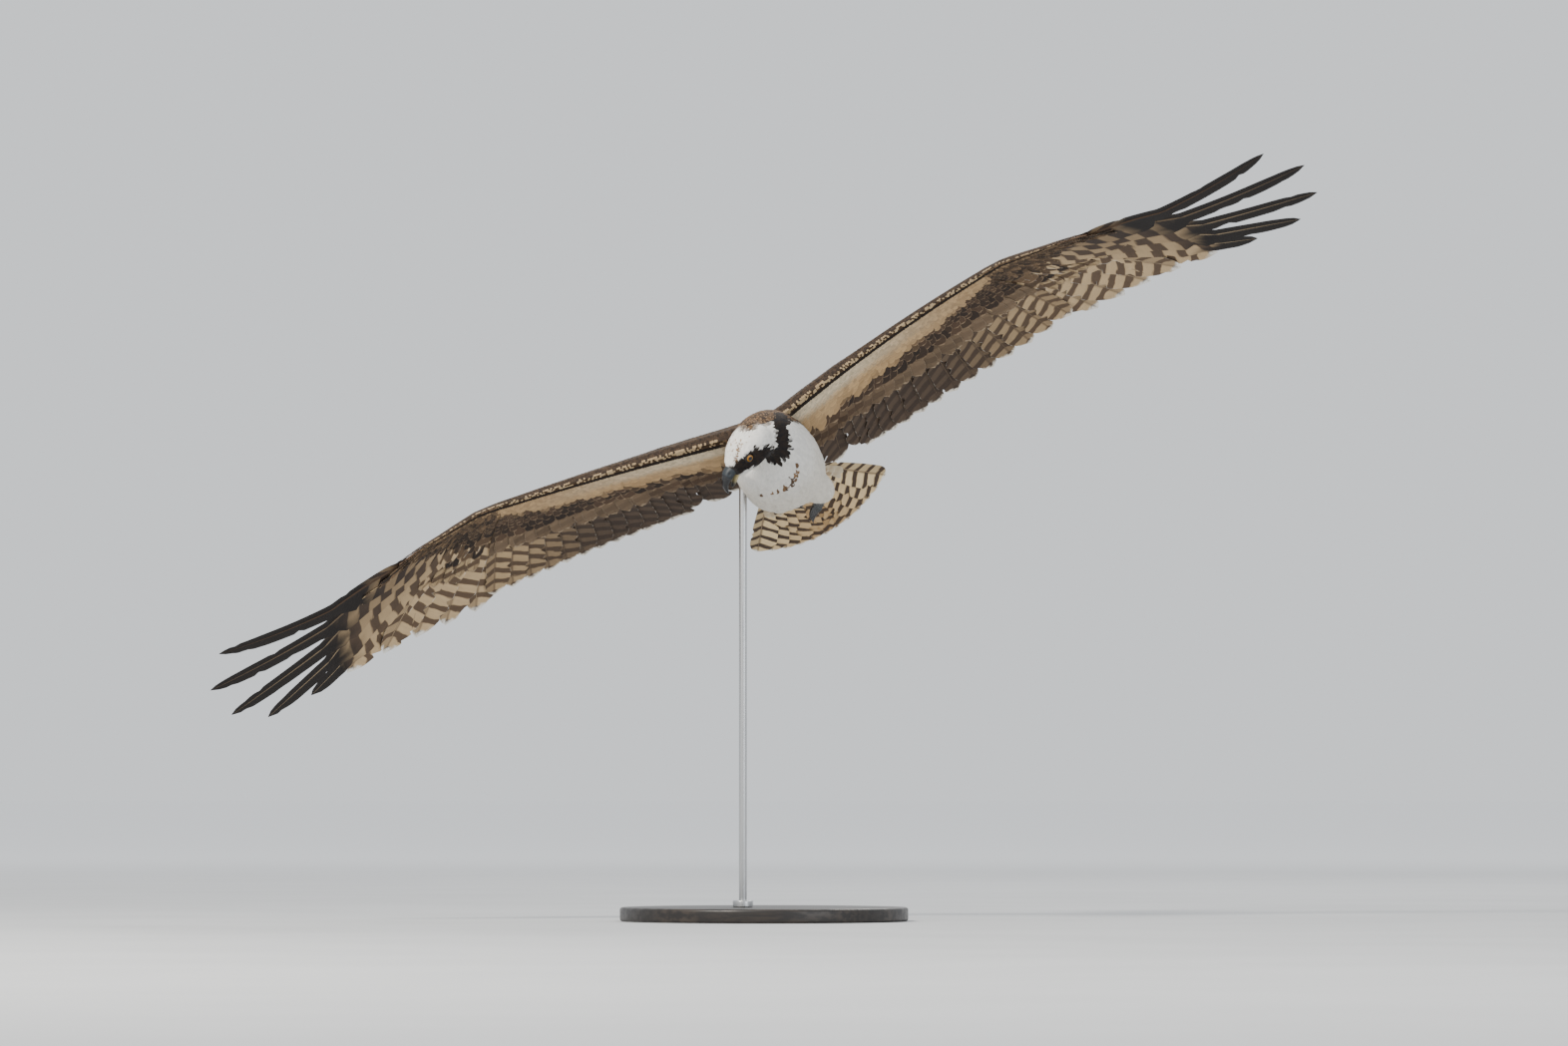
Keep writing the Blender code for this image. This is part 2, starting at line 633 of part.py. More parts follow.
def make_leg(side, name, clearance):
    """One folded leg; the right one is tucked in closer under the trunk."""
    ahead, inward, lift, curl = LEG_TUCK[name]

    def place(forward, out, up):
        return body_point(forward + ahead, out * inward * side, up + lift)

    points = [place(*row[:3]) for row in THIGH]
    middle = [blend(points[0], points[1], 0.5), blend(points[1], points[2], 0.5)]
    path = [points[0], middle[0], points[1], middle[1], points[2]]
    radii = [THIGH[0][3], 0.0225, THIGH[1][3], 0.0155, THIGH[2][3] * 0.7]
    thigh = tube("thigh_" + name, path, radii, "white feathers", 12, across=TRUNK_UP)
    cut(thigh, clearance)
    shank = [place(*SHANK[0]), blend(place(*SHANK[0]), place(*SHANK[1]), 0.5),
             place(*SHANK[1]), place(*FOOT)]
    foot = tube("foot_" + name, shank, [SHANK_RADIUS * r for r in (1.15, 1.0, 1.1, 0.9)],
                "leg scales", across=TRUNK_UP)
    for k in range(4):
        cut(foot, make_toe(k, name, place, curl), "UNION")
    cut(foot, clearance)


def make_toe(k, name, place, curl):
    """Toe that leaves the foot and curls under the tail, then its claw."""
    spread = TOE_SPREAD[k]
    start = place(FOOT[0] + 0.2 * spread + 0.003, FOOT[1], FOOT[2] - 0.001)
    knuckle = place(FOOT[0] + 0.9 * spread, FOOT[1] - 0.012, FOOT[2] - 0.016 * curl)
    tip = place(FOOT[0] + 0.9 * spread + 0.002, FOOT[1] - 0.0245, FOOT[2] - 0.0250 * curl)
    path = []
    for step in range(5):
        t = step / 4
        path.append((1 - t) ** 2 * start + 2 * t * (1 - t) * knuckle + t ** 2 * tip)
    toe = tube("toe_%s_%d" % (name, k + 1), path,
               [TOE_RADIUS * r for r in (0.85, 1.0, 0.95, 0.9, 0.6)], None, 6)
    heading = unit(path[-1] - path[-2])
    inward = unit(np.dot(TRUNK_UP, heading) * heading - TRUNK_UP)
    claw = []
    for step in range(5):
        bend = 0.25 * step
        claw.append(path[-1] + heading * (GAP + CLAW_LENGTH * sin(bend))
                    + inward * CLAW_LENGTH * (1 - cos(bend)) * curl)
    tube("claw_%s_%d" % (name, k + 1), claw,
         [0.0023 * r for r in (1.0, 0.85, 0.65, 0.42, 0.16)], "claw", 6)
    return toe


def cylinder(name, radius, low, high, centre, finish_name, count=48):
    bm = bmesh.new()
    bmesh.ops.create_cone(bm, cap_ends=True, segments=count, radius1=radius, radius2=radius,
                          depth=high - low)
    bmesh.ops.translate(bm, verts=bm.verts, vec=(0, 0, (low + high) / 2))
    made = finish(bm, name, finish_name)
    made.location = (centre[0], centre[1], 0.0)
    return made


def make_stand(trunk):
    base = cylinder("stand_base", BASE_RADIUS, 0.0, BASE_HEIGHT, (0, 0), "stand base", 56)
    bevel = base.modifiers.new("edge", "BEVEL")
    bevel.width = BASE_BEVEL
    bevel.segments = 1
    bevel.limit_method = "ANGLE"
    bevel.angle_limit = radians(60)
    socket = cylinder("base_socket", ROD_RADIUS + ROD_CLEARANCE, BASE_HEIGHT - SOCKET_DEPTH,
                      BASE_HEIGHT + 0.01, ROD_PLACE, None, 24)
    cut(base, socket)
    cylinder("stand_rod", ROD_RADIUS, BASE_HEIGHT - SOCKET_DEPTH + ROD_CLEARANCE, ROD_TOP,
             ROD_PLACE, "stand steel", 24)
    collar = cylinder("stand_collar", COLLAR_RADIUS, BASE_HEIGHT + ROD_CLEARANCE,
                      BASE_HEIGHT + COLLAR_HEIGHT, ROD_PLACE, "stand steel", 24)
    cut(collar, cylinder("collar_bore", ROD_RADIUS + ROD_CLEARANCE, 0.0,
                         BASE_HEIGHT + COLLAR_HEIGHT + 0.01, ROD_PLACE, None, 24))
    cut(trunk, cylinder("rod_room", ROD_RADIUS + ROD_CLEARANCE, BASE_HEIGHT,
                        ROD_TOP + ROD_CLEARANCE, ROD_PLACE, None, 24))


def build():
    clear_scene()
    trunk, neck, head, clearance = make_body()
    make_eyes(head)
    make_bill()
    for name in WINGS:
        make_wing(name, clearance)
    make_tail()
    make_leg(1, "left", clearance)
    make_leg(-1, "right", clearance)
    make_stand(trunk)


build()
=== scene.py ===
"""Looks of the osprey: one skin, feathers as thin solid vanes, eyes, bill, feet and stand."""

from math import cos, pi, radians, sin

import bmesh
import bpy
import numpy as np
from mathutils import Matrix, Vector
from mathutils.bvhtree import BVHTree


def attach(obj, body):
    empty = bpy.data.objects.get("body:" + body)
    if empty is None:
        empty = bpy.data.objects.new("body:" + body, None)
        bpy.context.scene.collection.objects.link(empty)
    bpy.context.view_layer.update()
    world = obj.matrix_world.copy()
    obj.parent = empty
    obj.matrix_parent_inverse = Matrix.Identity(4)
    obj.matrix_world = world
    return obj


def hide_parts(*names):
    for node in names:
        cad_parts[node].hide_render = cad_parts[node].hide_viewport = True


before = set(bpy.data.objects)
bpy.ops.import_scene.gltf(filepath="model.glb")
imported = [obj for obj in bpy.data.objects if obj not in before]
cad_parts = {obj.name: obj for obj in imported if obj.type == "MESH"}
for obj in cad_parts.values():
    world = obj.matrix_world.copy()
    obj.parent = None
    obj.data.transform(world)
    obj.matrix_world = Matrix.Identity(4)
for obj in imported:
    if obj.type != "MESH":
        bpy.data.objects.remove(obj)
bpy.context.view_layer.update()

# Camera: a long lens from the front, a little under the bird, as wide as the photograph
CAMERA_PLACE = (0.0256, -12.0, 0.2)
CAMERA_AIM = (0.0256, 0.0, 0.511)
SENSOR_WIDTH = 36.0
FOCAL_PIXELS = 9375
PHOTO_WIDTH = 1572

# Trunk and head frames, as in the solids
BODY_CENTRE = np.array((0.021, 0.0, 0.581))
YAW = radians(11.6)
NOSE_UP = radians(18.8)
BANK = radians(25.7)
TRUNK_DIP = radians(6.0)
HEAD_CENTRE = np.array((-0.0228, -0.166, 0.5985))
HEAD_YAW = radians(70.0)
HEAD_DIP = radians(52.0)
HEAD_ROLL = radians(-21.0)

# Wings, as in the solids
SHOULDER_FORWARD = 0.086
SHOULDER_UP = 0.0315
# Out, arm and arch are metres: shoulder's place, length from shoulder to wrist and its bow.
# The others are degrees: sweep and rise of the arm, toe and drop of its chord, and the hand's
WINGS = {
    "left": dict(side=1, out=0.041, arm=0.299, sweep=7.9, rise=8.5, arch=0.006,
                 toe=6.2, drop=8.7, hand_sweep=13.5, hand_rise=-11.7, twist=-0.5),
    "right": dict(side=-1, out=0.053, arm=0.293, sweep=11.8, rise=3.6, arch=0.002,
                  toe=3.1, drop=1.2, hand_sweep=6.4, hand_rise=-11.1, twist=3.7),
}
ELBOW = 0.43
INNER_END = -0.12
HAND_LENGTH = 0.115
QUILL_BACK = 0.012
LEADING_EDGE_AHEAD = 0.014
WRIST_FAN = 72.0
TERTIALS = 4
SECONDARIES = 14
PRIMARY_FAN = (69.8, 60.8, 52.0, 43.7, 36.8, 32.7, 27.9, 19.8, 8.9, -3.6)
PRIMARY_LENGTH = (0.212, 0.214, 0.219, 0.235, 0.264, 0.301, 0.343, 0.353, 0.335, 0.291)
SLOT_START = (0.204, 0.207, 0.213, 0.228, 0.248, 0.246, 0.215, 0.188, 0.144)
HAND_COVER = (0.088, 0.086, 0.085, 0.085, 0.086, 0.086, 0.084, 0.080, 0.070, 0.055)
FIRST_FINGER = 5
CHORD = ((-0.2, 0.150), (0.05, 0.160), (0.20, 0.184), (0.27, 0.172), (0.36, 0.200),
         (0.50, 0.207), (0.75, 0.200), (1.0, 0.202))
COVER_SHARE = ((-0.2, 0.60), (0.3, 0.50), (1.0, 0.42))
ARM_THICKNESS = ((-0.2, 0.034), (0.15, 0.030), (0.45, 0.024), (1.0, 0.017))
HAND_THICKNESS = ((0, 0.017), (4, 0.012), (7, 0.008), (9, 0.0045))
COVER_END = 0.0026
PROFILE = ((0.0, 0.0), (0.05, 0.62), (0.18, 1.0), (0.42, 0.86), (0.72, 0.48), (1.0, 0.0))
TOP_SHARE = 1.25
UNDER_SHARE = 0.75
TIP_RISE = 0.60
TIP_RISE_FROM = 0.185
TIP_RISE_SPAN = 0.30
CAMBER = 0.055
QUILL_ROOM = 0.0014

# Trunk sections, as in the solids: forward, half width, height above, depth below, axis lift
TRUNK = ((-0.172, 0.034, 0.006, 0.004, 0.040), (-0.150, 0.036, 0.010, 0.009, 0.035),
         (-0.115, 0.040, 0.021, 0.020, 0.024), (-0.070, 0.050, 0.037, 0.038, 0.010),
         (-0.020, 0.056, 0.048, 0.053, 0.001), (0.030, 0.057, 0.053, 0.056, 0.0),
         (0.070, 0.054, 0.053, 0.053, 0.0), (0.100, 0.048, 0.049, 0.048, 0.0))
NECK_START = 0.100
NECK_STEPS = 8
# Head sections: forward, half width, height above and depth below the eye line
HEAD = ((-0.0390, 0.0080, 0.0085, 0.0080), (-0.0350, 0.0175, 0.0180, 0.0170),
        (-0.0250, 0.0240, 0.0243, 0.0235), (-0.0100, 0.0262, 0.0260, 0.0255),
        (0.0040, 0.0242, 0.0250, 0.0240), (0.0150, 0.0205, 0.0215, 0.0210),
        (0.0240, 0.0155, 0.0160, 0.0175), (0.0325, 0.0105, 0.0105, 0.0135))
NECK_END = (-0.010, 0.0, -0.002)
NECK_END_SIZE = 0.0235
RING = 32
EYE_PLACE = (0.0085, 0.0165, 0.0035)
EYE_RADIUS = 0.0072
# Bill outlines as (forward, up) in the head, from the face to the tip, and half widths
CULMEN = ((0.0315, 0.0075), (0.0395, 0.0066), (0.0485, 0.0024), (0.0545, -0.0050),
          (0.0565, -0.0130), (0.0556, -0.0190))
UPPER_EDGE = ((0.0315, -0.0060), (0.0380, -0.0066), (0.0440, -0.0078), (0.0490, -0.0098),
              (0.0525, -0.0140), (0.0550, -0.0187))
UPPER_HALF_WIDTH = (0.0084, 0.0078, 0.0064, 0.0045, 0.0025, 0.0006)
LOWER_EDGE = ((0.0315, -0.0066), (0.0400, -0.0102), (0.0470, -0.0150))
KEEL = ((0.0315, -0.0124), (0.0393, -0.0156), (0.0462, -0.0172))
LOWER_HALF_WIDTH = (0.0070, 0.0058, 0.0024)
THIGH = ((-0.022, 0.031, -0.030, 0.024), (-0.0385, 0.037, -0.0325, 0.0225),
         (-0.055, 0.043, -0.035, 0.019), (-0.069, 0.0455, -0.0345, 0.0155),
         (-0.083, 0.048, -0.034, 0.0077))
SHANK = ((-0.0885, 0.0487, -0.0332), (-0.1245, 0.0447, -0.0210))
SHANK_RADIUS = 0.0052
FOOT = (-0.1325, 0.0435, -0.0170)
TOE_RADIUS = 0.0040
TOE_SPREAD = (-0.0150, -0.0050, 0.0050, 0.0150)
CLAW_LENGTH = 0.017
CLAW_GAP = 0.0004
# How each leg is drawn in: forward shift, share of the outward place, lift, curl of the toes
LEG_TUCK = {"left": (0.0, 0.80, 0.004, 0.65), "right": (0.010, 0.45, 0.012, 0.30)}

# Stand, as in the solids
BASE_RADIUS = 0.185
BASE_HEIGHT = 0.018
ROD_PLACE = (-0.027, -0.020)
ROD_RADIUS = 0.005
ROD_TOP = 0.583
SOCKET_DEPTH = 0.010
COLLAR_RADIUS = 0.013
COLLAR_HEIGHT = 0.009

rng = np.random.default_rng(20)


# Small vector helpers

def unit(vectors):
    vectors = np.asarray(vectors, float)
    size = np.linalg.norm(vectors, axis=-1, keepdims=True)
    return vectors / np.maximum(size, 1e-12)


def dot(first, second):
    return np.sum(np.asarray(first) * np.asarray(second), axis=-1)


def blend(first, second, share):
    return first + (second - first) * share


def tint(first, second, share):
    """Colour part of the way from one to another, with one share for each vane or point."""
    first = np.asarray(first)
    return first + (np.asarray(second) - first) * np.asarray(share)[..., None]


def smooth_step(low, high, value):
    share = np.clip((value - low) / (high - low), 0.0, 1.0)
    return share * share * (3 - 2 * share)


def along(table, place):
    """Value at a place in a short table of (place, value) pairs."""
    return np.interp(place, [row[0] for row in table], [row[1] for row in table])


def turn(first, second, share):
    """Direction part of the way from one direction to another."""
    angle = np.arccos(np.clip(np.dot(first, second), -1.0, 1.0))
    if angle < 1e-6:
        return first
    return (sin((1 - share) * angle) * first + sin(share * angle) * second) / sin(angle)


def flight_frame(yaw, nose_up, bank):
    """Forward, left and up directions of a bird that faces -Y before it turns."""
    forward = np.array((-sin(yaw) * cos(nose_up), -cos(yaw) * cos(nose_up), sin(nose_up)))
    level_left = unit(np.cross((0.0, 0.0, 1.0), forward))
    level_up = np.cross(forward, level_left)
    left = cos(bank) * level_left + sin(bank) * level_up
    return forward, left, np.cross(forward, left)


FORWARD, LEFT, UP = flight_frame(YAW, NOSE_UP, BANK)
TRUNK_FORWARD = cos(TRUNK_DIP) * FORWARD - sin(TRUNK_DIP) * UP
TRUNK_UP = cos(TRUNK_DIP) * UP + sin(TRUNK_DIP) * FORWARD
HEAD_FORWARD, HEAD_LEFT, HEAD_UP = flight_frame(HEAD_YAW, -HEAD_DIP, HEAD_ROLL)
TRUNK_AXES = np.array((TRUNK_FORWARD, LEFT, TRUNK_UP))
HEAD_AXES = np.array((HEAD_FORWARD, HEAD_LEFT, HEAD_UP))


def body_point(forward, left, up):
    return BODY_CENTRE + forward * TRUNK_FORWARD + left * LEFT + up * TRUNK_UP


def head_point(forward, left, up):
    return HEAD_CENTRE + forward * HEAD_FORWARD + left * HEAD_LEFT + up * HEAD_UP


def eye_point(side):
    return head_point(EYE_PLACE[0], EYE_PLACE[1] * side, EYE_PLACE[2])


def leg_point(name, forward, out, up):
    """World point of a place in a leg, which is drawn in as its row of LEG_TUCK says."""
    ahead, inward, lift, _ = LEG_TUCK[name]
    side = 1 if name == "left" else -1
    return body_point(forward + ahead, out * inward * side, up + lift)


def in_trunk(points):
    """Forward, left and up of world points, measured in the trunk."""
    return (np.asarray(points) - BODY_CENTRE) @ TRUNK_AXES.T


def in_head(points):
    return (np.asarray(points) - HEAD_CENTRE) @ HEAD_AXES.T


# Plan of a wing, as in the solids

class Wing:
    """One spread wing: its directions, and slices from leading edge to feather tip."""

    def __init__(self, name, side, out, arm, sweep, rise, arch, toe, drop,
                 hand_sweep, hand_rise, twist):
        self.name = name
        self.side = side
        self.out = LEFT * side
        self.arch = arch
        self.shoulder = (BODY_CENTRE + SHOULDER_FORWARD * FORWARD + out * self.out
                         + SHOULDER_UP * UP)
        self.arm_line = arm * self.heading(sweep, rise)
        toe, drop = radians(toe), radians(drop)
        self.arm_chord = cos(drop) * (-cos(toe) * FORWARD - sin(toe) * self.out) - sin(drop) * UP
        self.wrist = self.shoulder + self.arm_line
        self.hand = self.heading(hand_sweep, hand_rise)
        square = unit(-FORWARD + np.dot(FORWARD, self.hand) * self.hand)
        across = np.cross(self.hand, square)
        self.back = cos(radians(twist)) * square + sin(radians(twist)) * across
        self.hand_up = unit(np.cross(self.hand, self.back)) * side
        self.arm_up = unit(np.cross(self.arm_line, self.arm_chord)) * side
        self.joint_up = unit(self.arm_up + self.hand_up)
        self.joint_chord = self.fan(WRIST_FAN)
        self.make_tables()

    def heading(self, sweep, rise):
        sweep, rise = radians(sweep), radians(rise)
        level = cos(sweep) * self.out + sin(sweep) * FORWARD
        return cos(rise) * level + sin(rise) * UP

    def fan(self, angle):
        return cos(radians(angle)) * self.hand + sin(radians(angle)) * self.back

    def arm_column(self, s):
        """Leading edge, covert end, feather end and up of a slice across the arm."""
        share = max(0.0, (s - ELBOW) / (1 - ELBOW))
        direction = turn(self.arm_chord, self.joint_chord, share ** 1.5)
        up = turn(self.arm_up, self.joint_up, max(0.0, (s - 0.5) / 0.5))
        bow = 4 * s * (1 - s) * self.arch if 0 < s < 1 else 0.0
        start = self.shoulder + s * self.arm_line + bow * UP
        chord = along(CHORD, s)
        return start, start + direction * chord * along(COVER_SHARE, s), start + direction * chord, up

    def hand_point(self, outward, backward):
        """World points of plan places in the hand, with the rise towards the finger tips."""
        outward = np.asarray(outward, float)[..., None]
        backward = np.asarray(backward, float)[..., None]
        ahead = np.maximum(0.0, outward - TIP_RISE_FROM)
        rise = TIP_RISE * ahead ** 2 * (1 - backward / TIP_RISE_SPAN)
        return self.wrist + outward * self.hand + backward * self.back + rise * self.hand_up

    def primary_line(self, k):
        outward = HAND_LENGTH * blend(0.06, 1.0, k / 9)
        return np.array((outward, QUILL_BACK)), float(np.interp(k, range(10), PRIMARY_FAN))

    def reach(self, k):
        """How far the closed fan goes along a place between primaries."""
        stops = [(0, PRIMARY_LENGTH[0])]
        for n in range(1, 10):
            if n < FIRST_FINGER:
                stops.append((n, PRIMARY_LENGTH[n]))
            else:
                stops.append((n - 0.5, SLOT_START[n - 1]))
        stops.append((9, SLOT_START[8] - 0.004))
        return float(along(stops, k))

    def hand_column(self, k):
        root, angle = self.primary_line(k)
        heading = np.array((cos(radians(angle)), sin(radians(angle))))
        cover = float(np.interp(k, range(10), HAND_COVER))
        start = self.hand_point(root[0], -LEADING_EDGE_AHEAD * min(1.0, 0.3 + k / 3))
        return (start, self.hand_point(*(root + cover * heading)),
                self.hand_point(*(root + self.reach(k) * heading)), self.hand_up)

    def make_tables(self):
        """Slices along the whole wing: place q is s on the arm, and 1.1 to 2.0 on the hand."""
        arm = np.linspace(-0.2, 1.0, 121)
        hand = np.linspace(0.0, 9.0, 91)
        columns = [self.arm_column(s) for s in arm] + [self.hand_column(k) for k in hand]
        self.places = np.concatenate((arm, 1.1 + hand / 10))
        self.tables = [np.array([column[j] for column in columns]) for j in range(4)]
        depth = np.concatenate((along(ARM_THICKNESS, arm), along(HAND_THICKNESS, hand)))
        self.depths = depth

    def slice_at(self, q):
        """Leading edge, covert end, feather end, up and thickness of slices at places q."""
        q = np.clip(q, self.places[0], self.places[-1])
        j = np.clip(np.searchsorted(self.places, q) - 1, 0, len(self.places) - 2)
        share = (q - self.places[j]) / (self.places[j + 1] - self.places[j])
        rows = [blend(table[j], table[j + 1], share[..., None]) for table in self.tables]
        return rows + [np.interp(q, self.places, self.depths)]

    def lengths(self, q):
        """Lengths of a slice's covert part and vane part."""
        start, cover, end, _, _ = self.slice_at(np.asarray(q, float))
        return np.linalg.norm(cover - start, axis=-1), np.linalg.norm(end - cover, axis=-1)

    def at(self, q, distance, face=0, lift=0.0):
        """Points at a distance behind the leading edge. face is 1 above, -1 below, 0 between."""
        q, distance = np.broadcast_arrays(np.asarray(q, float), np.asarray(distance, float))
        start, cover, end, up, depth = self.slice_at(q)
        front = np.linalg.norm(cover - start, axis=-1)
        rear = np.linalg.norm(end - cover, axis=-1)
        total = front + rear
        share = distance / total
        first = np.clip(distance / front, 0.0, 1.0)
        second = np.maximum(distance - front, 0.0) / rear
        place = start + first[..., None] * (cover - start) + second[..., None] * (end - cover)
        bow = 4 * CAMBER * share * (1 - share) * total
        half = along(PROFILE, first) * depth / 2 + first * COVER_END / 2
        factor = TOP_SHARE if face > 0 else UNDER_SHARE
        room = QUILL_ROOM * smooth_step(0.35, 0.8, distance / front) if face else 0.0
        height = bow + face * (factor * half + room) + (face if face else 1.0) * lift
        return place + up * height[..., None], up * (face if face else 1.0)

    def spread(self, q, distance):
        """Metres across the wing for one unit of q."""
        step = 0.004
        low, _ = self.at(q - step, distance)
        high, _ = self.at(q + step, distance)
        return np.maximum(np.linalg.norm(high - low, axis=-1) / (2 * step), 0.02)


# Meshes of many vanes at once

# Width of a shaft as a share of its height
SHAFT_FLATNESS = 0.8


def vane_faces(rows, columns):
    """Quads of one closed vane: an upper and a lower grid that share their border."""
    under = {}
    count = rows * columns
    for i in range(rows):
        for j in range(columns):
            if 0 < i < rows - 1 and 0 < j < columns - 1:
                under[(i, j)] = count
                count += 1
            else:
                under[(i, j)] = i * columns + j
    top = []
    low = []
    for i in range(rows - 1):
        for j in range(columns - 1):
            corners = ((i, j), (i, j + 1), (i + 1, j + 1), (i + 1, j))
            top.append([a * columns + b for a, b in corners])
            low.append([under[corner] for corner in corners[::-1]])
    return np.array(top), np.array(low), count


def add_attribute(mesh, name, kind, domain, values):
    attribute = mesh.attributes.new(name, kind, domain)
    field = {"FLOAT": "value", "FLOAT_VECTOR": "vector", "FLOAT_COLOR": "color"}[kind]
    attribute.data.foreach_set(field, np.ascontiguousarray(values, np.float32).ravel())


def with_alpha(colours):
    """Colours with a fourth value of 1 where they have three."""
    if colours.shape[-1] == 4:
        return colours
    return np.concatenate((colours, np.ones(colours.shape[:-1] + (1,))), axis=-1)


def linked(name, data):
    """A new object of the scene that holds a mesh, a lamp or a camera."""
    made = bpy.data.objects.new(name, data)
    bpy.context.scene.collection.objects.link(made)
    return made


def shade_smooth(mesh):
    mesh.polygons.foreach_set("use_smooth", np.ones(len(mesh.polygons), bool))


def object_of(name, vertices, faces, material, smooth=True):
    mesh = bpy.data.meshes.new(name)
    mesh.from_pydata(np.asarray(vertices).tolist(), [], faces)
    if smooth:
        shade_smooth(mesh)
    made = linked(name, mesh)
    if material:
        mesh.materials.append(material)
    return made


def turn_outward(mesh, weld=0.0):
    """Turns every face outward, once points closer together than weld are joined."""
    work = bmesh.new()
    work.from_mesh(mesh)
    if weld:
        bmesh.ops.remove_doubles(work, verts=work.verts, dist=weld)
    bmesh.ops.recalc_face_normals(work, faces=work.faces)
    work.to_mesh(mesh)
    work.free()


class Vanes:
    """Batches of vanes that become one piece, with their looks as attributes."""

    def __init__(self, name):
        self.name = name
        self.points = []
        self.faces = []
        self.uvs = []
        self.values = {key: [] for key in ("vane", "style", "form", "ground", "second", "rim")}
        self.count = 0

    def add(self, centre, normal, thickness, share, across, looks, patches):
        """centre and normal are (vanes, rows, columns, 3), and share and across run from the
        root and from side to side. looks has a row for each vane. patches is (vanes, 2, 4):
        low corner and size of the upper and the lower face on the bake sheet."""
        shape = centre.shape[:3]
        number, rows, columns = shape
        top_faces, low_faces, _ = vane_faces(rows, columns)
        inner = np.zeros((rows, columns), bool)
        inner[1:-1, 1:-1] = True
        half = thickness / 2 * inner[None, :, :, None]
        top = (centre + normal * half).reshape(number, -1, 3)
        low = (centre - normal * half)[:, inner]

        def spread_out(values):
            flat = values.reshape(number, rows * columns, -1)
            return np.concatenate((flat, flat[:, inner.ravel()]), axis=1)

        parts = (share, across, looks["random"][:, None, None])
        vane = spread_out(np.stack([np.broadcast_to(part, shape) for part in parts], axis=-1))
        both = np.concatenate((top_faces, low_faces))
        uv = np.stack((vane[..., 1] * 0.5 + 0.5, vane[..., 0]), axis=-1)[:, both]
        split = len(top_faces)
        for part, face in ((slice(0, split), 0), (slice(split, None), 1)):
            patch = patches[:, face, None, None]
            uv[:, part] = patch[..., :2] + uv[:, part] * patch[..., 2:]
        form = spread_out(np.broadcast_to(normal, centre.shape))
        self.store(np.concatenate((top, low), axis=1), both, vane, form, looks, uv)

    def add_rods(self, path, normal, radius, looks, patches):
        """Closed four-sided shafts along paths of (vanes, rows, 3)."""
        number, rows, _ = path.shape
        rise = normal * radius[..., None]
        side = unit(np.cross(unit(np.gradient(path, axis=1)), normal)) * radius[..., None]
        side = side * SHAFT_FLATNESS
        ring = np.stack((path + rise, path + side, path - rise, path - side), axis=2)
        faces = []
        for i in range(rows - 1):
            for j in range(4):
                n = (j + 1) % 4
                faces.append((i * 4 + j, i * 4 + n, i * 4 + 4 + n, i * 4 + 4 + j))
        faces.append((3, 2, 1, 0))
        faces.append(tuple(rows * 4 - 4 + j for j in range(4)))
        faces = np.array(faces)
        vane = np.zeros((number, rows * 4, 3))
        vane[..., 0] = np.repeat(np.linspace(0, 1, rows), 4)
        vane[..., 2] = looks["random"][:, None]
        uv = np.full((number, len(faces), 4, 2), 0.5)
        uv[..., 1] = vane[:, faces][..., 0]
        uv = patches[:, None, None, :2] + uv * patches[:, None, None, 2:]
        form = np.repeat(normal, 4, axis=1)
        self.store(ring.reshape(number, -1, 3), faces, vane, form, looks, uv)

    def store(self, points, faces, vane, form, looks, uv):
        """Keeps a batch of equal vanes: points is (vanes, points of one, 3)."""
        number, per_vane, _ = points.shape
        offsets = self.count + np.arange(number)[:, None, None] * per_vane
        self.points.append(points.reshape(-1, 3))
        self.faces.append((faces[None] + offsets).reshape(-1, 4))
        self.uvs.append(uv.reshape(-1, 2))
        self.values["vane"].append(vane.reshape(-1, 3))
        self.values["form"].append(form.reshape(-1, 3))
        for key in ("style", "ground", "second", "rim"):
            look = np.repeat(np.asarray(looks[key], float)[:, None], per_vane, axis=1)
            if key != "style":
                look = with_alpha(look)
            self.values[key].append(look.reshape(-1, look.shape[-1]))
        self.count += number * per_vane

    def build(self, material):
        faces = np.concatenate(self.faces).tolist()
        made = object_of(self.name, np.concatenate(self.points), faces, material)
        mesh = made.data
        for key in ("vane", "style", "form"):
            add_attribute(mesh, key, "FLOAT_VECTOR", "POINT", np.concatenate(self.values[key]))
        for key in ("ground", "second", "rim"):
            add_attribute(mesh, key, "FLOAT_COLOR", "POINT", np.concatenate(self.values[key]))
        layer = mesh.uv_layers.new(name="OFBake")
        layer.data.foreach_set("uv", np.concatenate(self.uvs).astype(np.float32).ravel())
        mesh.set_sharp_from_angle(angle=radians(60))
        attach(made, "root")
        return made


# Materials

def new_material(name):
    """A material, its graph of nodes and its shader node."""
    made = bpy.data.materials.new(name)
    made.use_nodes = True
    return made, Graph(made.node_tree), made.node_tree.nodes["Principled BSDF"]


